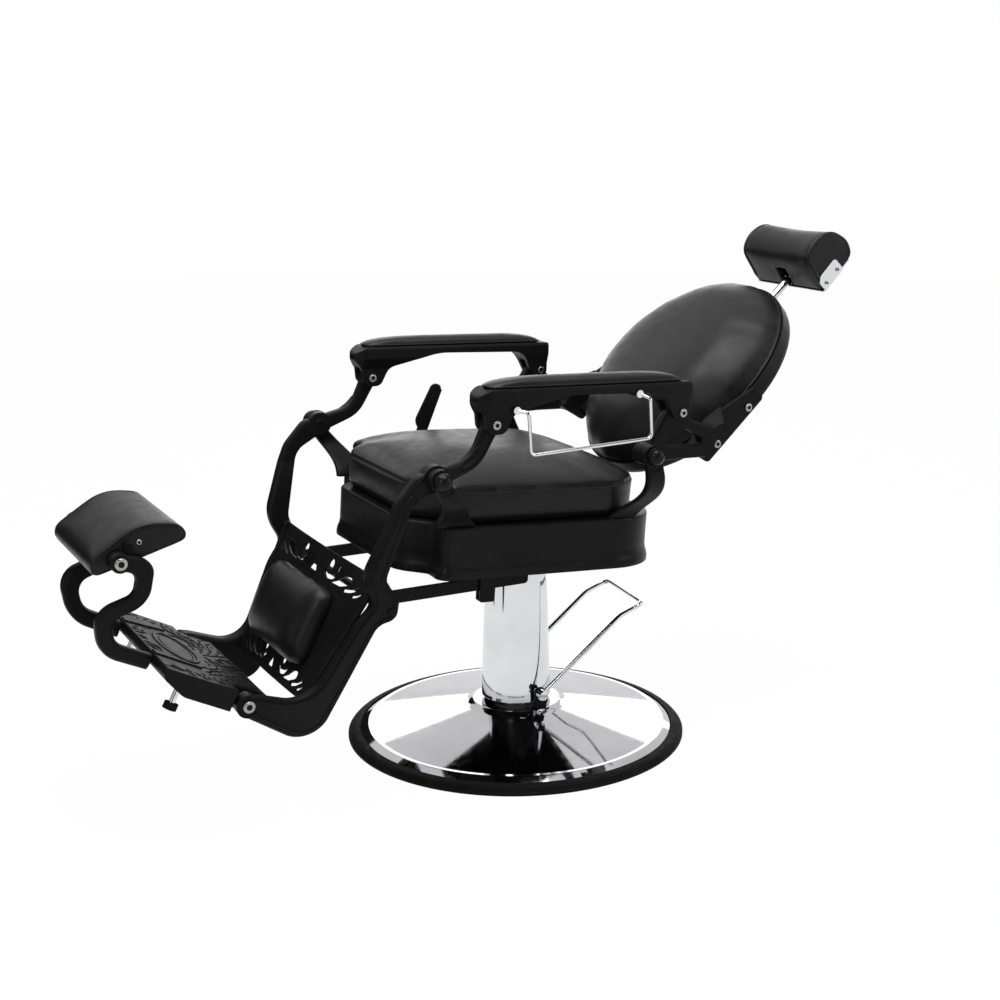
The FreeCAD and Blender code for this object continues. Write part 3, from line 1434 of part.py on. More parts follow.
def make_foot_arms():
    """Round-edged arms that lean outwards from the footplate's front to the pad's ends."""
    top = pivot("pad_pivot")
    width = size("foot_arm_width")
    depth = size("foot_arm_depth")
    outline = band(foot_arm_path(), depth / 2)
    half = foot_arm_half(top[1])
    for side in (LEFT, RIGHT):
        arm = rounded_slab(outline, size("foot_arm_edge"), width,
                           lambda a, b, off, side=side: Vector(a, side * foot_arm_half(b) + off, b))
        boss = pin(depth * 0.57, width, Vector(top[0], side * half - width / 2, top[1]), Y_AXIS)
        hole = Vector(top[0], side * half - 2 * width, top[1])
        arm = arm.fuse(boss).cut(pin(size("pad_bolt_radius") + size("running_gap"), 4 * width, hole, Y_AXIS))
        face = Vector(top[0], side * (half + width / 2), top[1])
        arm = arm.cut(pin(size("pad_bolt_radius") + 5, width, face, Vector(0, side, 0)))
        arm = arm.cut(behind_plate_front())
        solid_node("foot_arm_" + SIDE_NAMES[side], arm.removeSplitter())


def behind_plate_front():
    """Everything behind the footplate's front face, which the arms butt against."""
    wide = 2 * size("footplate_half_width")
    space = Part.makeBox(wide, 2 * wide, wide, Vector(-size("footplate_front"), -wide, -wide / 2))
    hinge = Vector(size("foot_pivot_x"), 0, size("foot_pivot_z"))
    space.Placement = Placement(hinge, Rotation(Y_AXIS, size("footplate_tilt")))
    return space


def make_foot_fasteners():
    thick = size("casting_width")
    outer = size("foot_frame_half_width") + thick / 2
    inner = size("footplate_tail_half_width") - 2 * size("footplate_wall")
    radius = size("foot_bolt_radius")
    bolts = []
    for side in (LEFT, RIGHT):
        out = Vector(0, side, 0)
        bolt = pin(radius, outer + 1 - inner, Vector(0, side * inner, 0), out)
        head = pin(radius + size("bolt_head_reach"), size("bolt_head"), Vector(0, side * (outer + 1), 0), out)
        bolts.append(bolt.fuse(head).removeSplitter())
    solid_node("foot_pivot_bolts", Part.makeCompound(bolts), FOOT)
    under = size("footplate_top") - size("footplate_depth")
    rubbers = []
    stems = []
    deck = size("footplate_top") - size("footplate_wall")
    front = -size("footplate_front")
    wide = size("footplate_half_width")
    for behind, within, drop in BUMPERS:
        for side in (LEFT, RIGHT):
            spot = Vector(front + behind, side * (wide - within), under - drop)
            stems.append(pin(6, deck - spot.z, spot, Z_AXIS))
            rubbers.append(pin(13, 12, spot, Vector(0, 0, -1)))
    solid_node("bumper_stems", Part.makeCompound(stems), FOOT)
    solid_node("foot_bumpers", Part.makeCompound(rubbers), FOOT)


def make_foot_pad():
    """Arched cushion wrapped over a board, turning on bolts through the S-shaped arms."""
    front = -size("pad_front")
    rear = size("pad_rear")
    wide = size("pad_half_width")
    low = -size("pad_under")
    edge = size("pad_edge")
    crown = size("pad_crown")
    middle = (front + rear) / 2
    board_wide = wide - 8
    sections = []
    for share, shrink in ((-1, 4), (-0.99, 1.5), (-0.97, 0), (0.97, 0), (0.99, 1.5), (1, 4)):
        outline = [(front + shrink, low + 2, 3), (rear - shrink, low + 2, 3),
                   (rear - shrink, edge - shrink, 9), (middle + 22, crown + 5 - shrink, 150),
                   (front + shrink, edge - shrink, 9)]
        sections.append(wire(outline, lambda a, b, y=share * wide: Vector(a, y, b)))
    cushion = Part.makeLoft(sections, True, True)
    board = Part.makeBox(rear - front - 16, 2 * board_wide, 20, Vector(front + 8, -board_wide, low))
    gap = size("soft_gap")
    room = Part.makeBox(rear - front - 16 + 2 * gap, 2 * (board_wide + gap), 20 + gap,
                        Vector(front + 8 - gap, -board_wide - gap, low))
    bolt = size("pad_bolt_radius")
    bore = pin(bolt + 1, 4 * wide, Vector(0, -2 * wide, 0), Y_AXIS)
    solid_node("foot_pad", cushion.cut(room).cut(bore), PAD)
    board = board.cut(pin(bolt + size("press_gap"), 4 * wide, Vector(0, -2 * wide, 0), Y_AXIS))
    solid_node("foot_pad_board", board, PAD)
    make_pad_fasteners(board_wide, wide)


def make_pad_fasteners(board_wide, wide):
    bolt = size("pad_bolt_radius")
    width = size("foot_arm_width")
    face = foot_arm_half(size("pad_pivot_z")) + width / 2
    bolts = []
    pegs = []
    peg = (25, 17)
    for side in (LEFT, RIGHT):
        out = Vector(0, side, 0)
        shank = pin(bolt, face - board_wide + 30, Vector(0, side * (board_wide - 30), 0), out)
        head = pin(bolt + size("bolt_head_reach"), size("bolt_head"), Vector(0, side * face, 0), out)
        bolts.append(shank.fuse(head).removeSplitter())
        pegs.append(pin(7, 15, Vector(peg[0], side * (wide + 0.3), peg[1]), out))
    solid_node("pad_pivot_bolts", Part.makeCompound(bolts), PAD)
    solid_node("stop_pegs", Part.makeCompound(pegs), PAD)


# Recline lever

def lever_axis():
    """The lever's shaft as (x, z), at its height above the shell's foot."""
    return size("lever_x"), size("seat_height") + size("lever_rise")


def make_lever():
    """Paddle lever outside the shell's right wall; its shaft ends in a pawl over a link bar."""
    x, z = lever_axis()
    thick = size("lever_thickness")
    face = size("shell_half_width") + size("lip_reach") + 1
    radius = size("lever_shaft_radius")
    stem = band([(x, z), (x + 4, z + 110, 60), (x + 50, z + 218)], 11)
    paddle = [(x + 8, z + 128, 20), (x + 62, z + 222, 14), (x + 40, z + 230, 14), (x - 4, z + 150, 30)]

    def flat(a, b):
        return Vector(a, face, b)

    lever = Part.Face(wire(stem, flat)).extrude(Vector(0, thick, 0))
    lever = lever.fuse(Part.Face(wire(paddle, flat)).extrude(Vector(0, thick, 0)))
    lever = lever.fuse(pin(16, thick, flat(x, z), Y_AXIS))
    shaft_start = size("link_half_spacing") - size("link_thickness")
    shaft = pin(radius, face - shaft_start, Vector(x, shaft_start, z), Y_AXIS)
    lever = lever.fuse(shaft)
    tie_top = tie_point()[1] + size("link_height") / 2 + 0.8
    reach = z - tie_top
    pawl = band([(x, z), (x, tie_top + 3)], 9)

    def inner(a, b):
        return Vector(a, shaft_start, b)

    plate = Part.Face(wire(pawl, inner)).extrude(Vector(0, 2 * thick, 0))
    plate = plate.common(pin(reach, 2 * thick, inner(x, z), Y_AXIS))
    hub = pin(2 * radius, 2 * thick, inner(x, z), Y_AXIS)
    solid_node("recline_lever", lever.fuse(plate).fuse(hub).removeSplitter())


def check():
    """Stop if any object failed or any sub-part is empty or broken."""
    for obj in DOC.Objects:
        if {"Invalid", "Error"} & set(obj.State):
            raise RuntimeError("%s failed: %s" % (obj.Label, obj.State))
    for obj in NODES:
        if obj.Shape.isNull() or not obj.Shape.isValid() or not obj.Shape.Solids:
            raise RuntimeError("%s has no valid solid" % obj.Label)


def main():
    fill_sheet()
    make_base()
    make_pedal()
    make_seat()
    make_leg_frames()
    make_calf_rest()
    make_tie_and_links()
    make_arms()
    make_back()
    make_headrest()
    make_footplate()
    make_foot_arms()
    make_foot_fasteners()
    make_foot_pad()
    make_lever()
    DOC.recompute()
    check()
    os.makedirs("parts", exist_ok=True)
    for obj in NODES:
        obj.Shape.exportStep(os.path.join("parts", obj.Label + ".step"))
    print(len(NODES), "sub-parts")


main()
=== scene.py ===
import math
from collections import namedtuple

import bmesh
import bpy
import numpy as np
from mathutils import Matrix, Vector
from mathutils.kdtree import KDTree


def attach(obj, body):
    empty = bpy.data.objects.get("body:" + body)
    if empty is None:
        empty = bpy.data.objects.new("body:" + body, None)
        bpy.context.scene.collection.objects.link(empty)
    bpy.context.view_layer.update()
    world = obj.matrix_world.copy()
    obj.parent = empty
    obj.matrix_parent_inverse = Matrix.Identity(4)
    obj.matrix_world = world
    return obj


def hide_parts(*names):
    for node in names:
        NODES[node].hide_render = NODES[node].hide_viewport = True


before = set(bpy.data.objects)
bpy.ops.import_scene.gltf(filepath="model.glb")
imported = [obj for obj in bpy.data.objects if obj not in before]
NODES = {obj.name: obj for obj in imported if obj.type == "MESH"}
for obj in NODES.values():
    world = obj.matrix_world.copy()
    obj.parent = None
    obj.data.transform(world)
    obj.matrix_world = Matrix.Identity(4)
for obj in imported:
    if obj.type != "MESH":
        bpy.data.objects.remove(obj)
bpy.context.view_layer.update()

SCENE = bpy.context.scene
MM = 0.001
X, Y, Z = 0, 1, 2
SIDES = (("left", -1), ("right", 1))

# Camera fitted to the photo
CAMERA_PLACE = Vector((-1.479, -2.837, 1.288))
CAMERA_YAW = math.radians(29.77)
CAMERA_PITCH = math.radians(13.92)
CAMERA_ROLL = math.radians(0.34)
CAMERA_LENS = 58.28
CAMERA_SENSOR = 36
CAMERA_SHIFT = (-0.0767, -0.0008)

# Local frames of the upholstered parts: origin in millimetres and turn about Y in degrees
SEAT = ((0, 0, 409), 4)
BACK = ((401, 0, 723), -42.5)
HEADREST = ((686.1, 0, 922.5), -45.5)
CALF = ((-463, 0, 320), -62.5)
FOOT_PAD = ((-841, 0, 517), -16.2)
FOOT = ((-643, 0, 237), 27.3)
ARM = ((-232, 0, 787), 2.43)

# Ambient light's colour and strength; the floor's radius, corners, level and share of plain white
AMBIENT = ((0.95, 0.97, 1, 1), 0.45)
WHITE = (1, 1, 1, 1)
FLOOR_RADIUS = 9
FLOOR_SIDES = 64
FLOOR_LEVEL = -0.0005
FLOOR_WHITE = 0.975

# Soft boxes: name, place, what they face, width and height, watts
LAMPS = (
    ("overhead", (-0.3, -0.3, 2.9), (0, 0, 0.5), (2.6, 1.8), 92),
    ("key", (-2.6, -2.0, 2.3), (0, 0, 0.6), (1.4, 1.4), 30),
    ("side", (2.6, -1.6, 1.8), (0, 0, 0.6), (0.9, 1.8), 24),
    ("rear", (1.9, 3.2, 1.5), (0, 0, 0.5), (4.0, 1.4), 24),
)

# Reflection cards: name, place, lean and turn in degrees, width and height
CARDS = (
    ("card_camera", (-2.0, -3.8, 1.1), (0, -28), (4.4, 2.0)),
    ("card_above", (-1.5, -2.8, 2.9), (-45, -28), (8.0, 2.4)),
    ("card_above_left", (-3.1, 0.75, 2.9), (-45, -104), (5.0, 2.4)),
    ("card_above_right", (2.3, -2.2, 2.9), (-45, 47), (5.0, 2.4)),
    ("card_right", (3.0, -1.4, 0.9), (0, 65), (1.3, 1.8)),
    ("card_left", (-3.4, -0.2, 0.8), (0, -85), (1.2, 1.6)),
    ("card_behind", (-1.2, 1.9, 0.55), (0, 30), (3.4, 1.2)),
)

# Stuffed covers: solid, name and body (the arms' end in their side), local frame, size of the skin's mesh, how
# far its hold fades in from an edge, how far the free skin is drawn in first, the stuffing's pressure, how far
# it may move the skin, the passes that draw it taut, and how full the cover is
Cover = namedtuple("Cover", "node name body place mesh fade slack pressure cap passes fill")
SEAT_COVER = Cover("seat_cushion", "seat_cover", "seat", SEAT, 0.006, 6, 0.003, 4, 0.012, 24, 0.8)
BACK_COVER = Cover("back_cushion", "back_cover", "back", BACK, 0.006, 5, 0.003, 4, 0.015, 40, 0.8)
HEADREST_COVER = Cover("headrest_cushion", "headrest_cover", "headrest", HEADREST, 0.0045, 4, 0.0015, 3, 0.005,
                       14, 0.75)
CALF_COVER = Cover("calf_pad", "calf_cover", "leg", CALF, 0.0045, 4, -0.004, 4, 0.009, 30, 0.7)
FOOT_PAD_COVER = Cover("foot_pad", "foot_pad_cover", "foot_pad", FOOT_PAD, 0.0045, 6, 0.0015, 3, 0.005, 14,
                       0.65)
ARM_COVER = Cover("arm_pad_", "arm_cover_", "arm_", ARM, 0.004, 3, 0.0015, 3, 0.005, 14, 0.7)
SEAM_HOLD = 5
SIM_FRAMES = 20

# Socket heads: name, node that carries them, at both ends or only the outer one, radius, height and body
SIDE_SCREWS = (
    ("arm_screw_heads_left", "arm_screws_left", True, 0.0072, 0.0018, "arm_left"),
    ("arm_screw_heads_right", "arm_screws_right", True, 0.0072, 0.0018, "arm_right"),
    ("back_screw_heads", "back_screws", False, 0.0072, 0.0016, "back"),
    ("headrest_screw_heads", "headrest_screws", False, 0.0042, 0.0012, "headrest"),
    ("foot_bolt_heads", "foot_pivot_bolts", False, 0.0100, 0.0016, "footrest"),
    ("pad_bolt_heads", "pad_pivot_bolts", False, 0.0100, 0.0016, "foot_pad"),
)
# Radius and height of the ball bolts' inner heads and of the foot pad's screws, and where those screws sit
BALL_HEAD = (0.0095, 0.0018)
PANEL_HEAD = (0.0050, 0.0022)
PANEL_SCREW = (46, 137.8, 14)


def local(place):
    """Matrix from a part's local millimetres to the scene's metres."""
    origin, degrees = place
    turn = Matrix.Rotation(math.radians(degrees), 4, "Y")
    return Matrix.Translation(Vector(origin) * MM) @ turn @ Matrix.Scale(MM, 4)


# Materials

class Paint:
    """A node material under construction, with the coordinates that its detail is laid out in."""

    def __init__(self, name):
        self.material = bpy.data.materials.new(name)
        self.material.use_nodes = True
        self.nodes = self.material.node_tree.nodes
        self.links = self.material.node_tree.links
        self.shader = self.nodes["Principled BSDF"]
        self.place = self.nodes.new("ShaderNodeTexCoord").outputs["Object"]

    def noise(self, scale, detail=4.0, distortion=0.0):
        node = self.nodes.new("ShaderNodeTexNoise")
        node.inputs["Scale"].default_value = scale
        node.inputs["Detail"].default_value = detail
        node.inputs["Distortion"].default_value = distortion
        self.links.new(self.place, node.inputs["Vector"])
        return node.outputs["Fac"]

    def cells(self, scale):
        node = self.nodes.new("ShaderNodeTexVoronoi")
        node.feature = "F1"
        node.inputs["Scale"].default_value = scale
        self.links.new(self.place, node.inputs["Vector"])
        return node.outputs["Distance"]

    def ranged(self, value, low, high, start=0.3, end=0.7):
        node = self.nodes.new("ShaderNodeMapRange")
        node.inputs["From Min"].default_value = start
        node.inputs["From Max"].default_value = end
        node.inputs["To Min"].default_value = low
        node.inputs["To Max"].default_value = high
        self.links.new(value, node.inputs["Value"])
        return node.outputs["Result"]

    def ramp(self, value, dark, light, start=0.3, end=0.7):
        node = self.nodes.new("ShaderNodeValToRGB")
        node.color_ramp.elements[0].position = start
        node.color_ramp.elements[0].color = (*dark, 1)
        node.color_ramp.elements[1].position = end
        node.color_ramp.elements[1].color = (*light, 1)
        self.links.new(value, node.inputs["Fac"])
        return node.outputs["Color"]

    def bump(self, height, strength, distance, under=None):
        node = self.nodes.new("ShaderNodeBump")
        node.inputs["Strength"].default_value = strength
        node.inputs["Distance"].default_value = distance
        self.links.new(height, node.inputs["Height"])
        if under is not None:
            self.links.new(under, node.inputs["Normal"])
        return node.outputs["Normal"]

    def rounded(self, radius):
        node = self.nodes.new("ShaderNodeBevel")
        node.samples = 4
        node.inputs["Radius"].default_value = radius
        return node.outputs["Normal"]

    def feed(self, socket, value):
        target = self.shader.inputs[socket]
        if isinstance(value, bpy.types.NodeSocket):
            self.links.new(value, target)
        else:
            target.default_value = value


def grey(level):
    return level, level, level


def finish(name, tone, gloss, specular=None, metallic=None, edge=None, relief=()):
    """A finish made of noise.

    tone is a noise and the colours at its ends, and gloss a noise and the roughness at its ends. edge is the
    radius that sharp edges seem rounded by. relief lists bumps from coarse to fine, each as a texture, its
    settings, its strength and its depth.
    """
    paint = Paint(name)
    paint.feed("Base Color", paint.ramp(paint.noise(*tone[0]), tone[1], tone[2]))
    paint.feed("Roughness", paint.ranged(paint.noise(*gloss[0]), gloss[1], gloss[2]))
    if specular is not None:
        paint.feed("Specular IOR Level", specular)
    if metallic is not None:
        paint.feed("Metallic", metallic)
    normal = None if edge is None else paint.rounded(edge)
    for texture, settings, strength, depth in relief:
        normal = paint.bump(texture(paint, *settings), strength, depth, normal)
    if normal is not None:
        paint.feed("Normal", normal)
    return paint


def chrome(name, dark, light):
    return finish(name, ((12, 3), dark, light), ((70, 6), 0.03, 0.09), metallic=1.0,
                  relief=[(Paint.noise, (30, 2), 0.03, 0.0006)])


def brushed(name, dark, light, rough):
    return finish(name, ((25, 5), dark, light), ((200, 4), rough, rough + 0.18), metallic=0.9,
                  relief=[(Paint.noise, (500, 3), 0.15, 0.0004)])


PAINTS = {
    "black_leatherette": finish(
        "leatherette", ((5, 3, 0.3), (0.0045, 0.0045, 0.0048), (0.0085, 0.0080, 0.0078)),
        ((46, 5), 0.32, 0.44), specular=0.18,
        relief=[(Paint.noise, (16, 3, 0.8), 0.07, 0.0025), (Paint.cells, (720,), 0.16, 0.0006),
                (Paint.noise, (1500, 2), 0.10, 0.0003)]),
    "black_casting": finish(
        "satin_casting", ((9, 4), grey(0.0035), grey(0.0065)), ((60, 5), 0.34, 0.47), specular=0.08,
        edge=0.0028, relief=[(Paint.noise, (45, 3), 0.10, 0.0012), (Paint.noise, (900, 2), 0.10, 0.0004)]),
    "black_moulding": finish(
        "satin_moulding", ((7, 4), (0.0040, 0.0040, 0.0042), (0.0070, 0.0070, 0.0072)), ((38, 5), 0.28, 0.40),
        specular=0.09, edge=0.003, relief=[(Paint.cells, (1100,), 0.07, 0.0004)]),
    "chrome": chrome("polished_chrome", (0.64, 0.65, 0.67), (0.74, 0.74, 0.75)),
    # The dome's chrome is darker than the column's: painted reflection of the dark seat and legs above it.
    "dome_chrome_painted_reflection": chrome("dome_chrome_painted_reflection", (0.44, 0.44, 0.46), (0.52, 0.52, 0.54)),
    # The screws' chrome is darker too: painted reflection of the dark parts around them.
    "screw_chrome_painted_reflection": chrome("screw_chrome_painted_reflection", (0.30, 0.30, 0.30), (0.42, 0.41, 0.40)),
    "black_bolt": finish(
        "gloss_black", ((20, 3), grey(0.0035), grey(0.0065)), ((120, 4), 0.22, 0.32), specular=0.12,
        edge=0.001, relief=[(Paint.noise, (400, 2), 0.04, 0.0003)]),
    "steel": brushed("plain_steel", (0.40, 0.40, 0.41), (0.58, 0.58, 0.59), 0.28),
    "iron": brushed("primed_iron", grey(0.05), grey(0.10), 0.45),
    "rubber": finish(
        "ring_rubber", ((15, 5), grey(0.0028), (0.0060, 0.0060, 0.0057)), ((90, 5), 0.50, 0.70), specular=0.06,
        edge=0.0015, relief=[(Paint.noise, (1200, 3), 0.20, 0.0004)]),
    # The board is near black: painted shade for the dark gap between the seat cushion and the shell.
    "plywood": finish(
        "plywood_painted_shade", ((30, 6, 1.5), (0.010, 0.009, 0.008), (0.022, 0.019, 0.016)), ((80, 4), 0.55, 0.75),
        specular=0.15, relief=[(Paint.noise, (300, 5), 0.2, 0.0005)]),
    "thread": finish(
        "sewing_thread", ((300, 3), grey(0.006), (0.014, 0.0135, 0.013)), ((900, 3), 0.45, 0.65),
        relief=[(Paint.noise, (2600, 2), 0.3, 0.0003)]),
}
FINISHES = {slot: paint.material for slot, paint in PAINTS.items()}
# Nodes whose chrome is darkened in place of their slot's: painted dark reflections on the dome and the side
# screws
NODE_PAINTED_REFLECTIONS = {"base_dome": "dome_chrome_painted_reflection"}
NODE_PAINTED_REFLECTIONS.update((row[1], "screw_chrome_painted_reflection") for row in SIDE_SCREWS)


def paint_nodes():
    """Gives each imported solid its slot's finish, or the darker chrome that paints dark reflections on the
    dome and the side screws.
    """
    for name, node in NODES.items():
        for entry in node.material_slots:
            slot = entry.material.name.split(".")[0]
            entry.material = FINISHES[NODE_PAINTED_REFLECTIONS.get(name, slot)]


# Meshes

WELD = 1e-5


def new_piece(name, mesh):
    piece = bpy.data.objects.new(name, mesh)
    SCENE.collection.objects.link(piece)
    return piece


def mesh_from(name, points, faces):
    mesh = bpy.data.meshes.new(name)
    mesh.from_pydata([tuple(p) for p in points], [], faces)
    mesh.update()
    mesh.polygons.foreach_set("use_smooth", [True] * len(mesh.polygons))
    return mesh


def welded(mesh):
    """A copy of a mesh to work on, its faces joined at their corners."""
    work = bmesh.new()
    work.from_mesh(mesh)
    bmesh.ops.remove_doubles(work, verts=work.verts, dist=WELD)
    return work


def settle(piece):
    """Turns the modifiers of a piece into its mesh."""
    graph = bpy.context.evaluated_depsgraph_get()
    made = bpy.data.meshes.new_from_object(piece.evaluated_get(graph))
    piece.modifiers.clear()
    piece.data = made
    made.polygons.foreach_set("use_smooth", [True] * len(made.polygons))


def coordinates(mesh):
    flat = np.zeros(len(mesh.vertices) * 3)
    mesh.vertices.foreach_get("co", flat)
    return flat.reshape(-1, 3)


def place_coordinates(mesh, points):
    mesh.vertices.foreach_set("co", np.asarray(points, float).ravel())
    mesh.update()


def normals(mesh):
    flat = np.zeros(len(mesh.vertices) * 3)
    mesh.vertices.foreach_get("normal", flat)
    return flat.reshape(-1, 3)


def to_local(points, matrix):
    inverse = np.array(matrix.inverted())
    return points @ inverse[:3, :3].T + inverse[:3, 3]


def axis_of(matrix, axis):
    return np.array((matrix.to_3x3() @ Vector([axis == i for i in range(3)])).normalized())


def tube_mesh(name, path, radius, closed, sides=10):
    """A round cord along a path, its rings carried along without twisting."""
    path = [Vector(p) for p in path]
    count = len(path)
    points, faces = [], []
    across = None
    for i, here in enumerate(path):
        before = path[i - 1] if closed or i else here
        after = path[(i + 1) % count] if closed or i + 1 < count else here
        along = (after - before).normalized()
        if across is None:
            across = along.orthogonal().normalized()
        across = (across - along * across.dot(along)).normalized()
        up = along.cross(across)
        for k in range(sides):
            angle = 2 * math.pi * k / sides
            points.append(here + (across * math.cos(angle) + up * math.sin(angle)) * radius)
    rings = count if closed else count - 1
    shift = closing_shift(points, count, sides) if closed else 0
    for i in range(rings):
        turn = shift if closed and i == count - 1 else 0
        for k in range(sides):
            a = i * sides + k
            b = i * sides + (k + 1) % sides
            far = ((i + 1) % count) * sides
            c = far + (k + 1 + turn) % sides
            d = far + (k + turn) % sides
            faces.append((a, b, c, d))
    if not closed:
        faces.append(tuple(range(sides - 1, -1, -1)))
        faces.append(tuple(range((count - 1) * sides, count * sides)))
    return mesh_from(name, points, faces)


def closing_shift(points, count, sides):
    """How many corners the last ring is turned against the first."""
    last = points[(count - 1) * sides]
    gaps = [(points[k] - last).length for k in range(sides)]
    return gaps.index(min(gaps))


def slice_loop(mesh, matrix, axis, level):
    """Points of the longest loop where a plane of a local frame cuts a mesh."""
    work = bmesh.new()
    work.from_mesh(mesh)
    point = matrix @ Vector([level if axis == i else 0 for i in range(3)])
    cut = bmesh.ops.bisect_plane(work, geom=work.verts[:] + work.edges[:] + work.faces[:],
                                 plane_co=point, plane_no=Vector(axis_of(matrix, axis)))["geom_cut"]
    edges = dict.fromkeys(e for e in cut if isinstance(e, bmesh.types.BMEdge))
    loops = []
    while edges:
        loops.append(walk(edges))
    work.free()
    return max(loops, key=loop_length)


def walk(edges):
    """Takes one run of joined edges, from the first one on, and returns its points in order."""
    edge = next(iter(edges))
    del edges[edge]
    run = [edge.verts[0], edge.verts[1]]
    while True:
        onward = [e for e in run[-1].link_edges if e in edges]
        if not onward:
            break
        del edges[onward[0]]
        run.append(onward[0].other_vert(run[-1]))
    return [v.co.copy() for v in run]


def loop_length(points):
    return sum((a - b).length for a, b in zip(points, points[1:]))


def resampled(points, step):
    """A closed path at even spacing."""
    ring = [Vector(p) for p in points]
    if (ring[0] - ring[-1]).length > 1e-6:
        ring.append(ring[0].copy())
    lengths = np.cumsum([0] + [(b - a).length for a, b in zip(ring, ring[1:])])
    count = max(8, int(round(lengths[-1] / step)))
    wanted = np.arange(count) * lengths[-1] / count
    flat = np.array([list(p) for p in ring])
    return np.stack([np.interp(wanted, lengths, flat[:, i]) for i in range(3)], axis=1)


def smoothed(points, passes):
    ring = np.asarray(points)
    for _ in range(passes):
        ring = (np.roll(ring, 1, 0) + 2 * ring + np.roll(ring, -1, 0)) / 4
    return ring


def outward(points, plane_normal):
    """Unit vectors in the loop's plane that point out of the loop."""
    tangent = np.roll(points, -1, 0) - np.roll(points, 1, 0)
    tangent /= np.linalg.norm(tangent, axis=1, keepdims=True)
    side = np.cross(tangent, np.array(plane_normal))
    centre = points.mean(0)
    if np.sum(side * (points - centre)) < 0:
        side = -side
    return side


# Stuffed covers

def skin_of(cover, side=""):
    """A copy of a cushion's solid with an even skin, and where its points lie in its local frame."""
    piece = new_piece(cover.name + side, NODES[cover.node + side].data.copy())
    piece.data.materials.clear()
    work = welded(piece.data)
    work.to_mesh(piece.data)
    work.free()
    remesh = piece.modifiers.new("skin", "REMESH")
    remesh.mode = "VOXEL"
    remesh.voxel_size = cover.mesh
    settle(piece)
    return piece, to_local(coordinates(piece.data), local(cover.place))


def shrink(piece, amount, held):
    """Draws the free skin in a little, so that the stuffing has room to fill it."""
    points = coordinates(piece.data)
    points -= normals(piece.data) * amount * (1 - held)[:, None]
    place_coordinates(piece.data, points)


def stuff(piece, held, pressure, cap, passes):
    """Blows the cover up as cloth over its stuffing, and keeps the movement within a cap."""
    start = coordinates(piece.data)
    group = piece.vertex_groups.new(name="held")
    for index in np.nonzero(held > 0)[0]:
        group.add([int(index)], float(held[index]), "REPLACE")
    cloth = piece.modifiers.new("stuffing", "CLOTH")
    cloth.settings.quality = 5
    cloth.settings.mass = 0.3
    cloth.settings.tension_stiffness = 25
    cloth.settings.compression_stiffness = 25
    cloth.settings.bending_stiffness = 0.6
    cloth.settings.use_pressure = True
    cloth.settings.uniform_pressure_force = pressure
    cloth.settings.effector_weights.gravity = 0
    cloth.settings.vertex_group_mass = "held"
    cloth.point_cache.frame_start = 1
    cloth.point_cache.frame_end = SIM_FRAMES
    for number in range(1, SIM_FRAMES + 1):
        SCENE.frame_set(number)
    graph = bpy.context.evaluated_depsgraph_get()
    moved = coordinates(piece.evaluated_get(graph).data)
    piece.modifiers.clear()
    piece.vertex_groups.clear()
    SCENE.frame_set(1)
    step = moved - start
    length = np.linalg.norm(step, axis=1, keepdims=True)
    limit = np.broadcast_to(np.asarray(cap, float), len(start))[:, None]
    place_coordinates(piece.data, start + step * np.minimum(1, limit / np.maximum(length, 1e-9)))
    relax(piece, held, passes)


def relax(piece, held, passes):
    """Draws the cover taut: each free corner moves half way to the middle of its neighbours."""
    ends = np.zeros(len(piece.data.edges) * 2, int)
    piece.data.edges.foreach_get("vertices", ends)
    first, second = ends.reshape(-1, 2).T
    points = coordinates(piece.data)
    count = np.bincount(ends, minlength=len(points))[:, None]
    free = (1 - held)[:, None] * 0.5
    for _ in range(passes):
        total = np.zeros_like(points)
        np.add.at(total, first, points[second])
        np.add.at(total, second, points[first])
        points += (total / count - points) * free
    place_coordinates(piece.data, points)


def refine(piece):
    """One round of subdivision."""
    finer = piece.modifiers.new("finer", "SUBSURF")
    finer.levels = 1
    finer.render_levels = 1
    settle(piece)


def fill_out(piece, cover, held, cap):
    """Fills a skin, held where it is sewn or rests on something, and makes its mesh finer."""
    shrink(piece, cover.slack, held)
    stuff(piece, held, cover.pressure, cap, cover.passes)
    refine(piece)


def press_in(piece, loop, depth, width):
    """Sinks a sewn line into a cover."""
    points = coordinates(piece.data)
    tree = KDTree(len(loop))
    for i, p in enumerate(loop):
        tree.insert(Vector(p), i)
    tree.balance()
    gaps = np.array([tree.find(Vector(p))[2] for p in points])
    points -= normals(piece.data) * (depth * np.exp(-(gaps / width) ** 2))[:, None]
    place_coordinates(piece.data, points)


def dress(piece, node, body):
    """Finish, body and replaced solid of a stuffed cover."""
    piece.data.materials.append(FINISHES["black_leatherette"])
    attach(piece, body)
    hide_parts(node)


def trim(name, mesh, body, material):
    """A small piece of its own on a body."""
    piece = new_piece(name, mesh)
    mesh.materials.append(material)
    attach(piece, body)


WELT_STEP = 0.004
WELT_PASSES = 6


def piping(name, loop, plane_normal, radius, lift, body):
    """A sewn welt along a loop, its middle lifted off the cover by a given amount."""
    path = smoothed(resampled(loop, WELT_STEP), WELT_PASSES)
    path = path + outward(path, plane_normal) * lift
    trim(name, tube_mesh(name, path, radius, True), body, FINISHES["black_leatherette"])


# A stitch's pitch, length, radius and lift, and its rings: share of its length, of its radius, and rise
STITCH_PITCH = 0.0065
STITCH_LENGTH = 0.0045
STITCH_RADIUS = 0.0007
STITCH_LIFT = 0.0002
STITCH_PASSES = 4
STITCH_SIDES = 6
STITCH_RINGS = ((-0.5, 0.25, -1.2), (-0.36, 0.85, 0.0), (0.0, 1.0, 0.5), (0.36, 0.85, 0.0),
                (0.5, 0.25, -1.2))


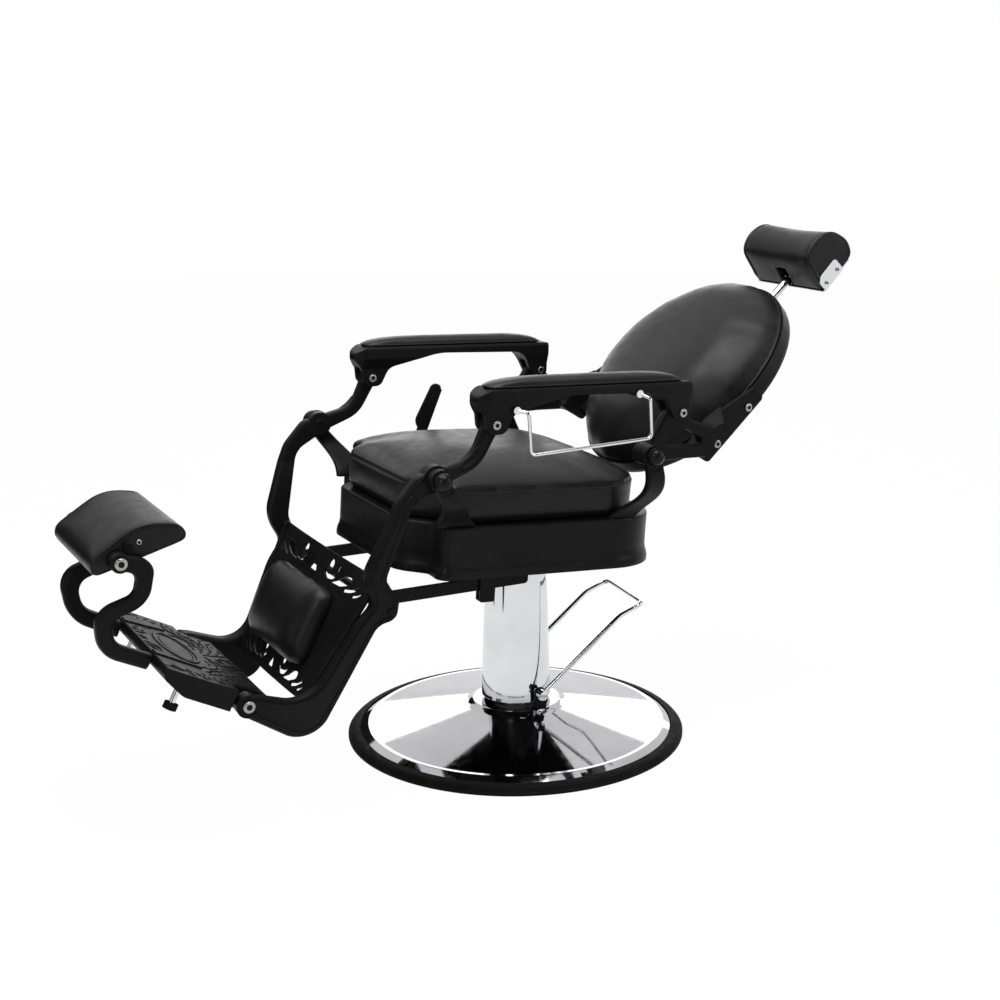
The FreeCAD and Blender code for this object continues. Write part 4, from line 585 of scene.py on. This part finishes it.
def stitches(name, loop, plane_normal, body):
    """Short threads in a row along a loop."""
    path = smoothed(resampled(loop, STITCH_PITCH), STITCH_PASSES)
    out = outward(path, plane_normal)
    points, faces = [], []
    along = np.roll(path, -1, 0) - path
    along /= np.linalg.norm(along, axis=1, keepdims=True)
    for here, way, side in zip(path, along, out):
        add_stitch(points, faces, here + side * STITCH_LIFT, way, side)
    trim(name, mesh_from(name, points, faces), body, FINISHES["thread"])


def add_stitch(points, faces, here, way, side):
    first = len(points)
    cross = np.cross(way, side)
    for share, swell, rise in STITCH_RINGS:
        middle = here + way * STITCH_LENGTH * share + side * STITCH_RADIUS * rise
        for k in range(STITCH_SIDES):
            angle = 2 * math.pi * k / STITCH_SIDES
            spoke = side * math.cos(angle) + cross * math.sin(angle)
            points.append(middle + spoke * STITCH_RADIUS * swell)
    for ring in range(len(STITCH_RINGS) - 1):
        for k in range(STITCH_SIDES):
            a = first + ring * STITCH_SIDES + k
            b = first + ring * STITCH_SIDES + (k + 1) % STITCH_SIDES
            faces.append((a, a + STITCH_SIDES, b + STITCH_SIDES, b))
    last = first + (len(STITCH_RINGS) - 1) * STITCH_SIDES
    faces.append(tuple(first + k for k in range(STITCH_SIDES)))
    faces.append(tuple(last + k for k in reversed(range(STITCH_SIDES))))


def near(values, level, reach):
    """1 at a level, falling to 0 at a reach either side."""
    return np.clip(1 - np.abs(values - level) / reach, 0, 1)


def below(values, level, reach):
    """0 above a level, rising to 1 at a reach under it."""
    return np.clip((level - values) / reach, 0, 1)


# Seat: the height under which the cover is held, its top seam, and the room that the posts leave it
SEAT_FOOT = 120
SEAT_SEAM = 164
SEAT_ROW_GAP = 5
POST_HALF = 225
POST_TOP = 150
POST_CAP = 0.004
SEAM_STEP = 0.002
SEAM_DEPTH = 0.0022
SEAM_WIDTH = 0.004


def make_seat_cover():
    matrix = local(SEAT)
    piece, spots = skin_of(SEAT_COVER)
    heights = spots[:, Z]
    held = np.maximum(below(heights, SEAT_FOOT, SEAT_COVER.fade), near(heights, SEAT_SEAM, SEAM_HOLD))
    beside_posts = (np.abs(spots[:, Y]) > POST_HALF) & (heights < POST_TOP)
    fill_out(piece, SEAT_COVER, held, np.where(beside_posts, POST_CAP, SEAT_COVER.cap))
    loop = slice_loop(piece.data, matrix, Z, SEAT_SEAM)
    press_in(piece, resampled(loop, SEAM_STEP), SEAM_DEPTH, SEAM_WIDTH)
    up = axis_of(matrix, Z)
    for name, level in (("upper", SEAT_SEAM + SEAT_ROW_GAP), ("lower", SEAT_SEAM - SEAT_ROW_GAP)):
        stitches("seat_stitch_" + name, slice_loop(piece.data, matrix, Z, level), up, "seat")
    dress(piece, SEAT_COVER.node, SEAT_COVER.body)


# Back: the height under which the cover is held, and the welt's height and radius
BACK_FOOT = 12
BACK_WELT = 4
BACK_WELT_RADIUS = 0.0028


def make_back_cover():
    matrix = local(BACK)
    piece, spots = skin_of(BACK_COVER)
    fill_out(piece, BACK_COVER, below(spots[:, Z], BACK_FOOT, BACK_COVER.fade), BACK_COVER.cap)
    loop = slice_loop(piece.data, matrix, Z, BACK_WELT)
    piping("back_welt", loop, axis_of(matrix, Z), BACK_WELT_RADIUS, 0.0, "back")
    dress(piece, BACK_COVER.node, BACK_COVER.body)


# Headrest: where the cover is held under its sides and at its end seams, the post's recess, and the welts
HEAD_FOOT = -2
HEAD_SEAM = 118
HEAD_RECESS = (28, 24, 42)
HEAD_WELT = 114
HEAD_WELT_RADIUS = 0.0048
HEAD_WELT_LIFT = -0.0012


def make_headrest_cover():
    matrix = local(HEADREST)
    piece, spots = skin_of(HEADREST_COVER)
    across = np.abs(spots[:, Y])
    foot = below(spots[:, Z], HEAD_FOOT, HEADREST_COVER.fade)
    held = np.maximum(foot, near(across, HEAD_SEAM, SEAM_HOLD))
    reach, half, tall = HEAD_RECESS
    recess = (across < half) & (spots[:, X] < reach) & (spots[:, Z] < tall)
    held = np.maximum(held, recess * 1.0)
    fill_out(piece, HEADREST_COVER, held, HEADREST_COVER.cap)
    for name, side in SIDES:
        loop = slice_loop(piece.data, matrix, Y, side * HEAD_WELT)
        piping("headrest_welt_" + name, loop, axis_of(matrix, Y), HEAD_WELT_RADIUS, HEAD_WELT_LIFT, "headrest")
    dress(piece, HEADREST_COVER.node, HEADREST_COVER.body)


# Calf pad: how far under its crown the cover is held
CALF_FOOT = 34


def make_calf_cover():
    piece, spots = skin_of(CALF_COVER)
    back = spots[:, Z].max() - CALF_FOOT
    fill_out(piece, CALF_COVER, below(spots[:, Z], back, CALF_COVER.fade), CALF_COVER.cap)
    dress(piece, CALF_COVER.node, CALF_COVER.body)


# Foot pad: how far the stuffing lifts its crown, where the cover is held, and the welts
FOOT_PAD_RISE = 11
FOOT_PAD_FOOT = 6
FOOT_PAD_SEAM = 138
FOOT_PAD_WELT = 134.5
FOOT_PAD_WELT_RADIUS = 0.0026
FOOT_PAD_WELT_LIFT = 0.0004


def make_foot_pad_cover():
    matrix = local(FOOT_PAD)
    piece, spots = skin_of(FOOT_PAD_COVER)
    heights = spots[:, Z]
    rise = FOOT_PAD_RISE * np.clip(heights / heights.max(), 0, 1)
    place_coordinates(piece.data, coordinates(piece.data) + axis_of(matrix, Z) * rise[:, None] * MM)
    foot = below(heights, FOOT_PAD_FOOT, FOOT_PAD_COVER.fade)
    held = np.maximum(foot, near(np.abs(spots[:, Y]), FOOT_PAD_SEAM, SEAM_HOLD))
    fill_out(piece, FOOT_PAD_COVER, held, FOOT_PAD_COVER.cap)
    for name, side in SIDES:
        loop = slice_loop(piece.data, matrix, Y, side * FOOT_PAD_WELT)
        piping("foot_pad_welt_" + name, loop, axis_of(matrix, Y), FOOT_PAD_WELT_RADIUS, FOOT_PAD_WELT_LIFT,
               "foot_pad")
    dress(piece, FOOT_PAD_COVER.node, FOOT_PAD_COVER.body)


# Arm pads: how high the cover is held, and the welt's height, radius and lift
ARM_FOOT = 5
ARM_WELT = 3
ARM_WELT_RADIUS = 0.0016
ARM_WELT_LIFT = -0.0004


def make_arm_covers():
    matrix = local(ARM)
    for name, _ in SIDES:
        piece, spots = skin_of(ARM_COVER, name)
        base = spots[:, Z].min()
        held = below(spots[:, Z], base + ARM_FOOT, ARM_COVER.fade)
        fill_out(piece, ARM_COVER, held, ARM_COVER.cap)
        loop = slice_loop(piece.data, matrix, Z, base + ARM_WELT)
        piping("arm_welt_" + name, loop, axis_of(matrix, Z), ARM_WELT_RADIUS, ARM_WELT_LIFT,
               ARM_COVER.body + name)
        dress(piece, ARM_COVER.node + name, ARM_COVER.body + name)


# Beads along the mouldings of the leg frames: least length of a rim, and how square to the side its face looks

BEAD_RADIUS = 0.0020
BEAD_STEP = 0.005
BEAD_PASSES = 2
BEAD_SIDES = 8
RIM_LEAST = 0.5
FACE_SQUARE = 0.93


def face_rims(node, side):
    """Closed rims of the flat faces that look outwards on a side casting."""
    work = welded(NODES[node].data)
    work.normal_update()
    rims = {}
    for edge in work.edges:
        flat = [face.normal.y * side > FACE_SQUARE for face in edge.link_faces]
        if len(flat) == 2 and flat[0] != flat[1]:
            rims[edge] = None
    loops = []
    while rims:
        loops.append(walk(rims))
    work.free()
    return loops


def make_leg_beads():
    for name, side in SIDES:
        points, faces = [], []
        for rim in face_rims("leg_frame_" + name, side):
            if loop_length(rim) < RIM_LEAST:
                continue
            path = smoothed(resampled(rim, BEAD_STEP), BEAD_PASSES)
            bead = tube_mesh("bead", path, BEAD_RADIUS, True, BEAD_SIDES)
            first = len(points)
            points += [v.co.copy() for v in bead.vertices]
            faces += [tuple(first + i for i in face.vertices) for face in bead.polygons]
            bpy.data.meshes.remove(bead)
        mesh = mesh_from("leg_beads_" + name, points, faces)
        trim("leg_beads_" + name, mesh, "leg", FINISHES["black_casting"])


# Fillets where the calf panel meets the frames: the panel's ends with its half widths there, its crest and bow
# in its local frame, and the fillets' radius, corners and points along the panel
PANEL_ENDS = ((-126, 176.4), (140, 240.5))
PANEL_CREST = 20
PANEL_BOW = 4037
FILLET_RADIUS = 6
FILLET_SIDES = 12
FILLET_POINTS = (0.01, 0.99, 40)


def make_panel_fillets():
    matrix = local(CALF)
    (low, narrow), (high, broad) = PANEL_ENDS
    for name, side in SIDES:
        path = []
        for share in np.linspace(*FILLET_POINTS):
            width = narrow + (broad - narrow) * share - FILLET_RADIUS / 2
            level = PANEL_CREST - width ** 2 / PANEL_BOW - FILLET_RADIUS / 2
            path.append(matrix @ Vector((low + (high - low) * share, side * width, level)))
        mesh = tube_mesh("panel_fillet_" + name, path, FILLET_RADIUS * MM, False, FILLET_SIDES)
        trim("panel_fillet_" + name, mesh, "leg", FINISHES["black_casting"])


# Screw heads

HEAD_SIDES = 24
HEX_CORNERS = 6
# Share of the head's radius, share of its height, and whether the ring has six corners
HEAD_RINGS = ((1.0, -0.2, False), (1.0, 0.45, False), (0.93, 0.82, False), (0.80, 1.0, False),
              (0.60, 1.0, False), (0.56, 0.93, False), (0.52, 0.93, True), (0.48, 0.15, True))
SOCKET_RINGS = 2


def islands(node):
    """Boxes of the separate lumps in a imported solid's mesh."""
    work = welded(NODES[node].data)
    left = set(work.verts)
    boxes = []
    while left:
        reached = [left.pop()]
        spots = []
        while reached:
            vert = reached.pop()
            spots.append(tuple(vert.co))
            for edge in vert.link_edges:
                other = edge.other_vert(vert)
                if other in left:
                    left.discard(other)
                    reached.append(other)
        spots = np.array(spots)
        boxes.append((spots.min(0), spots.max(0)))
    work.free()
    return sorted(boxes, key=lambda box: tuple(box[0]))


def add_head(points, faces, centre, out, radius, height):
    """A rounded screw head with a six-sided socket."""
    across = Vector(out).orthogonal().normalized()
    up = Vector(out).cross(across)
    part = 2 * math.pi / HEX_CORNERS
    first = len(points)
    for share, rise, cornered in HEAD_RINGS:
        for k in range(HEAD_SIDES):
            angle = 2 * math.pi * k / HEAD_SIDES
            reach = share * radius
            if cornered:
                reach *= math.cos(part / 2) / math.cos(angle % part - part / 2)
            spoke = across * math.cos(angle) + up * math.sin(angle)
            points.append(Vector(centre) + spoke * reach + Vector(out) * height * rise)
    for ring in range(len(HEAD_RINGS) - 1):
        for k in range(HEAD_SIDES):
            a = first + ring * HEAD_SIDES + k
            b = first + ring * HEAD_SIDES + (k + 1) % HEAD_SIDES
            faces.append((a, b, b + HEAD_SIDES, a + HEAD_SIDES))
    last = first + (len(HEAD_RINGS) - 1) * HEAD_SIDES
    faces.append(tuple(last + k for k in range(HEAD_SIDES)))
    faces.append(tuple(first + k for k in reversed(range(HEAD_SIDES))))


def screw_heads(name, spots, radius, height, body, slot):
    """Socket heads of one kind on one body: each spot is a centre and the way it faces."""
    points, faces = [], []
    for centre, out in spots:
        add_head(points, faces, centre, out, radius, height)
    mesh = mesh_from(name, points, faces)
    # Chrome heads take the darker screw chrome: painted reflection of the dark parts around them.
    trim(name, mesh, body, FINISHES["screw_chrome_painted_reflection" if slot == "chrome" else slot])
    # On the chrome heads the socket's walls and floor take the gloss black finish: painted shade in the
    # recess.
    mesh.materials.append(FINISHES["black_bolt"])
    per_head = (len(HEAD_RINGS) - 1) * HEAD_SIDES + 2
    wall = (len(HEAD_RINGS) - 1 - SOCKET_RINGS) * HEAD_SIDES
    for face in mesh.polygons:
        place = face.index % per_head
        face.material_index = int(wall <= place < per_head - 1)
        face.use_smooth = place < wall


def side_spots(node, both):
    """Head places on sideways screws: the outer ends, or both ends."""
    spots = []
    for low, high in islands(node):
        middle = (low + high) / 2
        for level, way in ((low[Y], -1), (high[Y], 1)):
            if both or way * middle[Y] > 0:
                spots.append(((middle[X], level, middle[Z]), (0, way, 0)))
    return spots


def inner_spots(node):
    """Head places on the inner ends of sideways bolts."""
    spots = []
    for low, high in islands(node):
        inner = high[Y] if high[Y] < 0 else low[Y]
        middle = (low + high) / 2
        spots.append(((middle[X], inner, middle[Z]), (0, 1 if inner < 0 else -1, 0)))
    return spots


def make_screw_heads():
    for name, node, both, radius, height, body in SIDE_SCREWS:
        screw_heads(name, side_spots(node, both), radius, height, body, "chrome")
    for node in ("leg_pivot_bolts", "back_pivot_bolts"):
        screw_heads(node + "_ends", inner_spots(node), *BALL_HEAD, "seat", "black_bolt")
    matrix = local(FOOT_PAD)
    along, across, up = PANEL_SCREW
    ends = [(matrix @ Vector((along, way * across, up)), (0, way, 0)) for _, way in SIDES]
    screw_heads("foot_pad_screws", ends, *PANEL_HEAD, "foot_pad", "chrome")


# Cast relief on the footplate, in its local frame: the plate's top and half widths before and behind its
# shoulder, and the places of the oval and of the rib that the strokes leave clear

PLATE_TOP = 21
PLATE_HALF = 192
TAIL_HALF = 150
PLATE_SHOULDER = -38
OVAL_MIDDLE = -86.5
OVAL_CLEAR = (54, 106)
RIB_MIDDLE = 133
RIB_HALF = 26
RIB_END = -66
# First, end and step of the rows and columns of leaf strokes, each stroke's length and bow, and how it turns:
# a start in radians, then the swing and the wave length over two pi along the plate and across it
STROKE_ROWS = (-152, 34, 13)
STROKE_COLUMNS = (9, 200, 21)
STROKE_LENGTH = 19
STROKE_BULGE = 3.4
STROKE_START = 0.5
STROKE_ALONG = (0.9, 40)
STROKE_ACROSS = (0.8, 33)
# Half width and height of the strokes and of the lines, the oval's half axes and corners, and the rims' lines
STROKE_RIDGE = (2.5, 1.9)
LINE_RIDGE = (1.6, 1.2)
OVAL_REACH = (26, 76)
OVAL_CORNERS = 72
RIM_LINES = (((40, -158), (40, 158)), ((-22, -161), (38, -161)), ((-22, 161), (38, 161)))
# A ridge's section, as shares of its half width and height, and how its ends are drawn out to points
RIDGE = ((-1.0, -0.35), (-0.62, 0.72), (0.0, 1.0), (0.62, 0.72), (1.0, -0.35))
RIDGE_END = 0.15
RIDGE_LEAST = 0.06
RIDGE_POWER = 0.7


def bent(start, end, bulge, count=12):
    """Points of a plain curve from one place to another, bowed to its left by a bulge."""
    a, b = np.array(start, float), np.array(end, float)
    side = np.array((a[Y] - b[Y], b[X] - a[X]))
    side /= np.linalg.norm(side)
    shares = np.linspace(0, 1, count)[:, None]
    return a + (b - a) * shares + side * bulge * 4 * shares * (1 - shares)


def add_ridge(points, faces, path, width, height, closed=False):
    """A rounded ridge on the plate's top, drawn out to points at its ends unless it closes on itself."""
    first = len(points)
    count = len(path)
    along = np.roll(path, -1, 0) - np.roll(path, 1, 0) if closed else np.gradient(path, axis=0)
    along /= np.linalg.norm(along, axis=1, keepdims=True)
    for i, (here, way) in enumerate(zip(path, along)):
        swell = 1
        if not closed:
            arch = math.sin(math.pi * (i + RIDGE_END) / (count - 1 + 2 * RIDGE_END))
            swell = max(arch, RIDGE_LEAST) ** RIDGE_POWER
        for across, rise in RIDGE:
            spot = here + np.array((-way[Y], way[X])) * across * width * swell
            points.append((spot[X], spot[Y], PLATE_TOP + height * rise * (swell if rise > 0 else 1)))
    sides = len(RIDGE)
    for i in range(count if closed else count - 1):
        for k in range(sides):
            a = first + i * sides + k
            b = first + i * sides + (k + 1) % sides
            far = first + ((i + 1) % count) * sides
            faces.append((a, far + k, far + (k + 1) % sides, b))
    if not closed:
        faces.append(tuple(first + k for k in range(sides)))
        faces.append(tuple(first + (count - 1) * sides + k for k in reversed(range(sides))))


def on_bare_plate(x, y):
    """Whether a place on the plate's right half is clear of its rims, the oval and the rib."""
    inside = y < (TAIL_HALF if x > PLATE_SHOULDER else PLATE_HALF)
    oval = ((x - OVAL_MIDDLE) / OVAL_CLEAR[0]) ** 2 + (y / OVAL_CLEAR[1]) ** 2 < 1
    rib = x < RIB_END and abs(y - RIB_MIDDLE) < RIB_HALF
    return inside and not oval and not rib


def plate_strokes():
    """Curved leaf strokes over one half of the plate, turning steadily from place to place."""
    strokes = []
    for row, x in enumerate(np.arange(*STROKE_ROWS)):
        for column, y in enumerate(np.arange(*STROKE_COLUMNS)):
            y += (row % 2) * STROKE_COLUMNS[2] / 2
            if not on_bare_plate(x, y):
                continue
            angle = (STROKE_START + STROKE_ALONG[0] * math.sin(x / STROKE_ALONG[1])
                     + STROKE_ACROSS[0] * math.cos(y / STROKE_ACROSS[1]))
            reach = np.array((math.sin(angle), math.cos(angle))) * STROKE_LENGTH / 2
            bulge = STROKE_BULGE if (row + column) % 3 else -STROKE_BULGE
            strokes.append(bent(np.array((x, y)) - reach, np.array((x, y)) + reach, bulge))
    return strokes


def make_plate_relief():
    points, faces = [], []
    for stroke in plate_strokes():
        for _, side in SIDES:
            add_ridge(points, faces, stroke * np.array((1, side)), *STROKE_RIDGE)
    turns = np.linspace(0, 2 * math.pi, OVAL_CORNERS, endpoint=False)
    oval = np.stack([OVAL_MIDDLE + OVAL_REACH[0] * np.cos(turns), OVAL_REACH[1] * np.sin(turns)], axis=1)
    add_ridge(points, faces, oval, *LINE_RIDGE, closed=True)
    for line in RIM_LINES:
        add_ridge(points, faces, bent(*line, 0.0), *LINE_RIDGE)
    place = local(FOOT)
    mesh = mesh_from("plate_relief", [place @ Vector(p) for p in points], faces)
    trim("plate_relief", mesh, "footrest", FINISHES["black_casting"])


# Stage

def make_camera():
    data = bpy.data.cameras.new("photo_camera")
    data.lens = CAMERA_LENS
    data.sensor_width = CAMERA_SENSOR
    data.shift_x, data.shift_y = CAMERA_SHIFT
    camera = bpy.data.objects.new("photo_camera", data)
    SCENE.collection.objects.link(camera)
    siny, cosy = math.sin(CAMERA_YAW), math.cos(CAMERA_YAW)
    sinp, cosp = math.sin(CAMERA_PITCH), math.cos(CAMERA_PITCH)
    forward = Vector((cosp * siny, cosp * cosy, -sinp))
    level_right = Vector((cosy, -siny, 0))
    level_up = Vector((sinp * siny, sinp * cosy, cosp))
    right = level_right * math.cos(CAMERA_ROLL) + level_up * math.sin(CAMERA_ROLL)
    up = level_up * math.cos(CAMERA_ROLL) - level_right * math.sin(CAMERA_ROLL)
    turn = Matrix((right, up, -forward)).transposed().to_4x4()
    camera.matrix_world = Matrix.Translation(CAMERA_PLACE) @ turn
    SCENE.camera = camera


def seen_directly(nodes, links):
    """1 for camera, mirror and see-through rays."""
    path = nodes.new("ShaderNodeLightPath")
    first = nodes.new("ShaderNodeMath")
    first.operation = "MAXIMUM"
    links.new(path.outputs["Is Camera Ray"], first.inputs[0])
    links.new(path.outputs["Is Glossy Ray"], first.inputs[1])
    both = nodes.new("ShaderNodeMath")
    both.operation = "MAXIMUM"
    links.new(first.outputs[0], both.inputs[0])
    links.new(path.outputs["Is Transmission Ray"], both.inputs[1])
    return both.outputs[0]


def make_world():
    world = bpy.data.worlds.new("studio")
    world.use_nodes = True
    nodes, links = world.node_tree.nodes, world.node_tree.links
    ambient = nodes["Background"]
    ambient.inputs["Color"].default_value, ambient.inputs["Strength"].default_value = AMBIENT
    white = nodes.new("ShaderNodeBackground")
    white.inputs["Color"].default_value = WHITE
    white.inputs["Strength"].default_value = 1
    mix = nodes.new("ShaderNodeMixShader")
    links.new(seen_directly(nodes, links), mix.inputs[0])
    links.new(ambient.outputs[0], mix.inputs[1])
    links.new(white.outputs[0], mix.inputs[2])
    links.new(mix.outputs[0], nodes["World Output"].inputs["Surface"])
    SCENE.world = world


def make_floor():
    """A pale floor that the camera sees as almost plain white."""
    points = []
    for k in range(FLOOR_SIDES):
        angle = 2 * math.pi * k / FLOOR_SIDES
        points.append((FLOOR_RADIUS * math.cos(angle), FLOOR_RADIUS * math.sin(angle), FLOOR_LEVEL))
    floor = new_piece("floor", mesh_from("floor", points, [tuple(range(FLOOR_SIDES))]))
    paint = finish("pale_floor", ((3, 3), grey(0.84), grey(0.88)), ((20, 3), 0.6, 0.75), specular=0.1)
    nodes, links = paint.nodes, paint.links
    glow = nodes.new("ShaderNodeEmission")
    glow.inputs["Color"].default_value = WHITE
    glow.inputs["Strength"].default_value = 1
    mix = nodes.new("ShaderNodeMixShader")
    share = nodes.new("ShaderNodeMath")
    share.operation = "MULTIPLY"
    share.inputs[1].default_value = FLOOR_WHITE
    links.new(seen_directly(nodes, links), share.inputs[0])
    links.new(share.outputs[0], mix.inputs[0])
    links.new(paint.shader.outputs[0], mix.inputs[1])
    links.new(glow.outputs[0], mix.inputs[2])
    links.new(mix.outputs[0], nodes["Material Output"].inputs["Surface"])
    floor.data.materials.append(paint.material)


def make_lamps():
    """Soft boxes that the camera doesn't see."""
    for name, place, target, size, watts in LAMPS:
        data = bpy.data.lights.new(name, "AREA")
        data.shape = "RECTANGLE"
        data.size, data.size_y = size
        data.energy = watts
        lamp = bpy.data.objects.new(name, data)
        SCENE.collection.objects.link(lamp)
        lamp.visible_camera = False
        lamp.location = place
        lamp.rotation_euler = (Vector(target) - Vector(place)).to_track_quat("-Z", "Y").to_euler()


def make_cards():
    """Dark cards seen only in reflections, which give chrome and black their contrast."""
    paint = finish("dark_card", ((2, 2), grey(0.008), grey(0.014)), ((6, 2), 0.85, 0.95), specular=0.0)
    for name, place, turn, size in CARDS:
        half_x, half_y = size[0] / 2, size[1] / 2
        corners = [(-half_x, 0, -half_y), (half_x, 0, -half_y), (half_x, 0, half_y), (-half_x, 0, half_y)]
        card = new_piece(name, mesh_from(name, corners, [(0, 1, 2, 3)]))
        card.location = place
        card.rotation_euler = (math.radians(turn[0]), 0, math.radians(turn[1]))
        card.data.materials.append(paint.material)
        card.visible_camera = False
        card.visible_diffuse = False
        card.visible_shadow = False
        card.visible_transmission = False


def make_stage():
    make_camera()
    make_world()
    make_floor()
    make_lamps()
    make_cards()
    SCENE.view_settings.view_transform = "Standard"


paint_nodes()
make_seat_cover()
make_back_cover()
make_headrest_cover()
make_calf_cover()
make_foot_pad_cover()
make_arm_covers()
make_leg_beads()
make_panel_fillets()
make_screw_heads()
make_plate_relief()
make_stage()
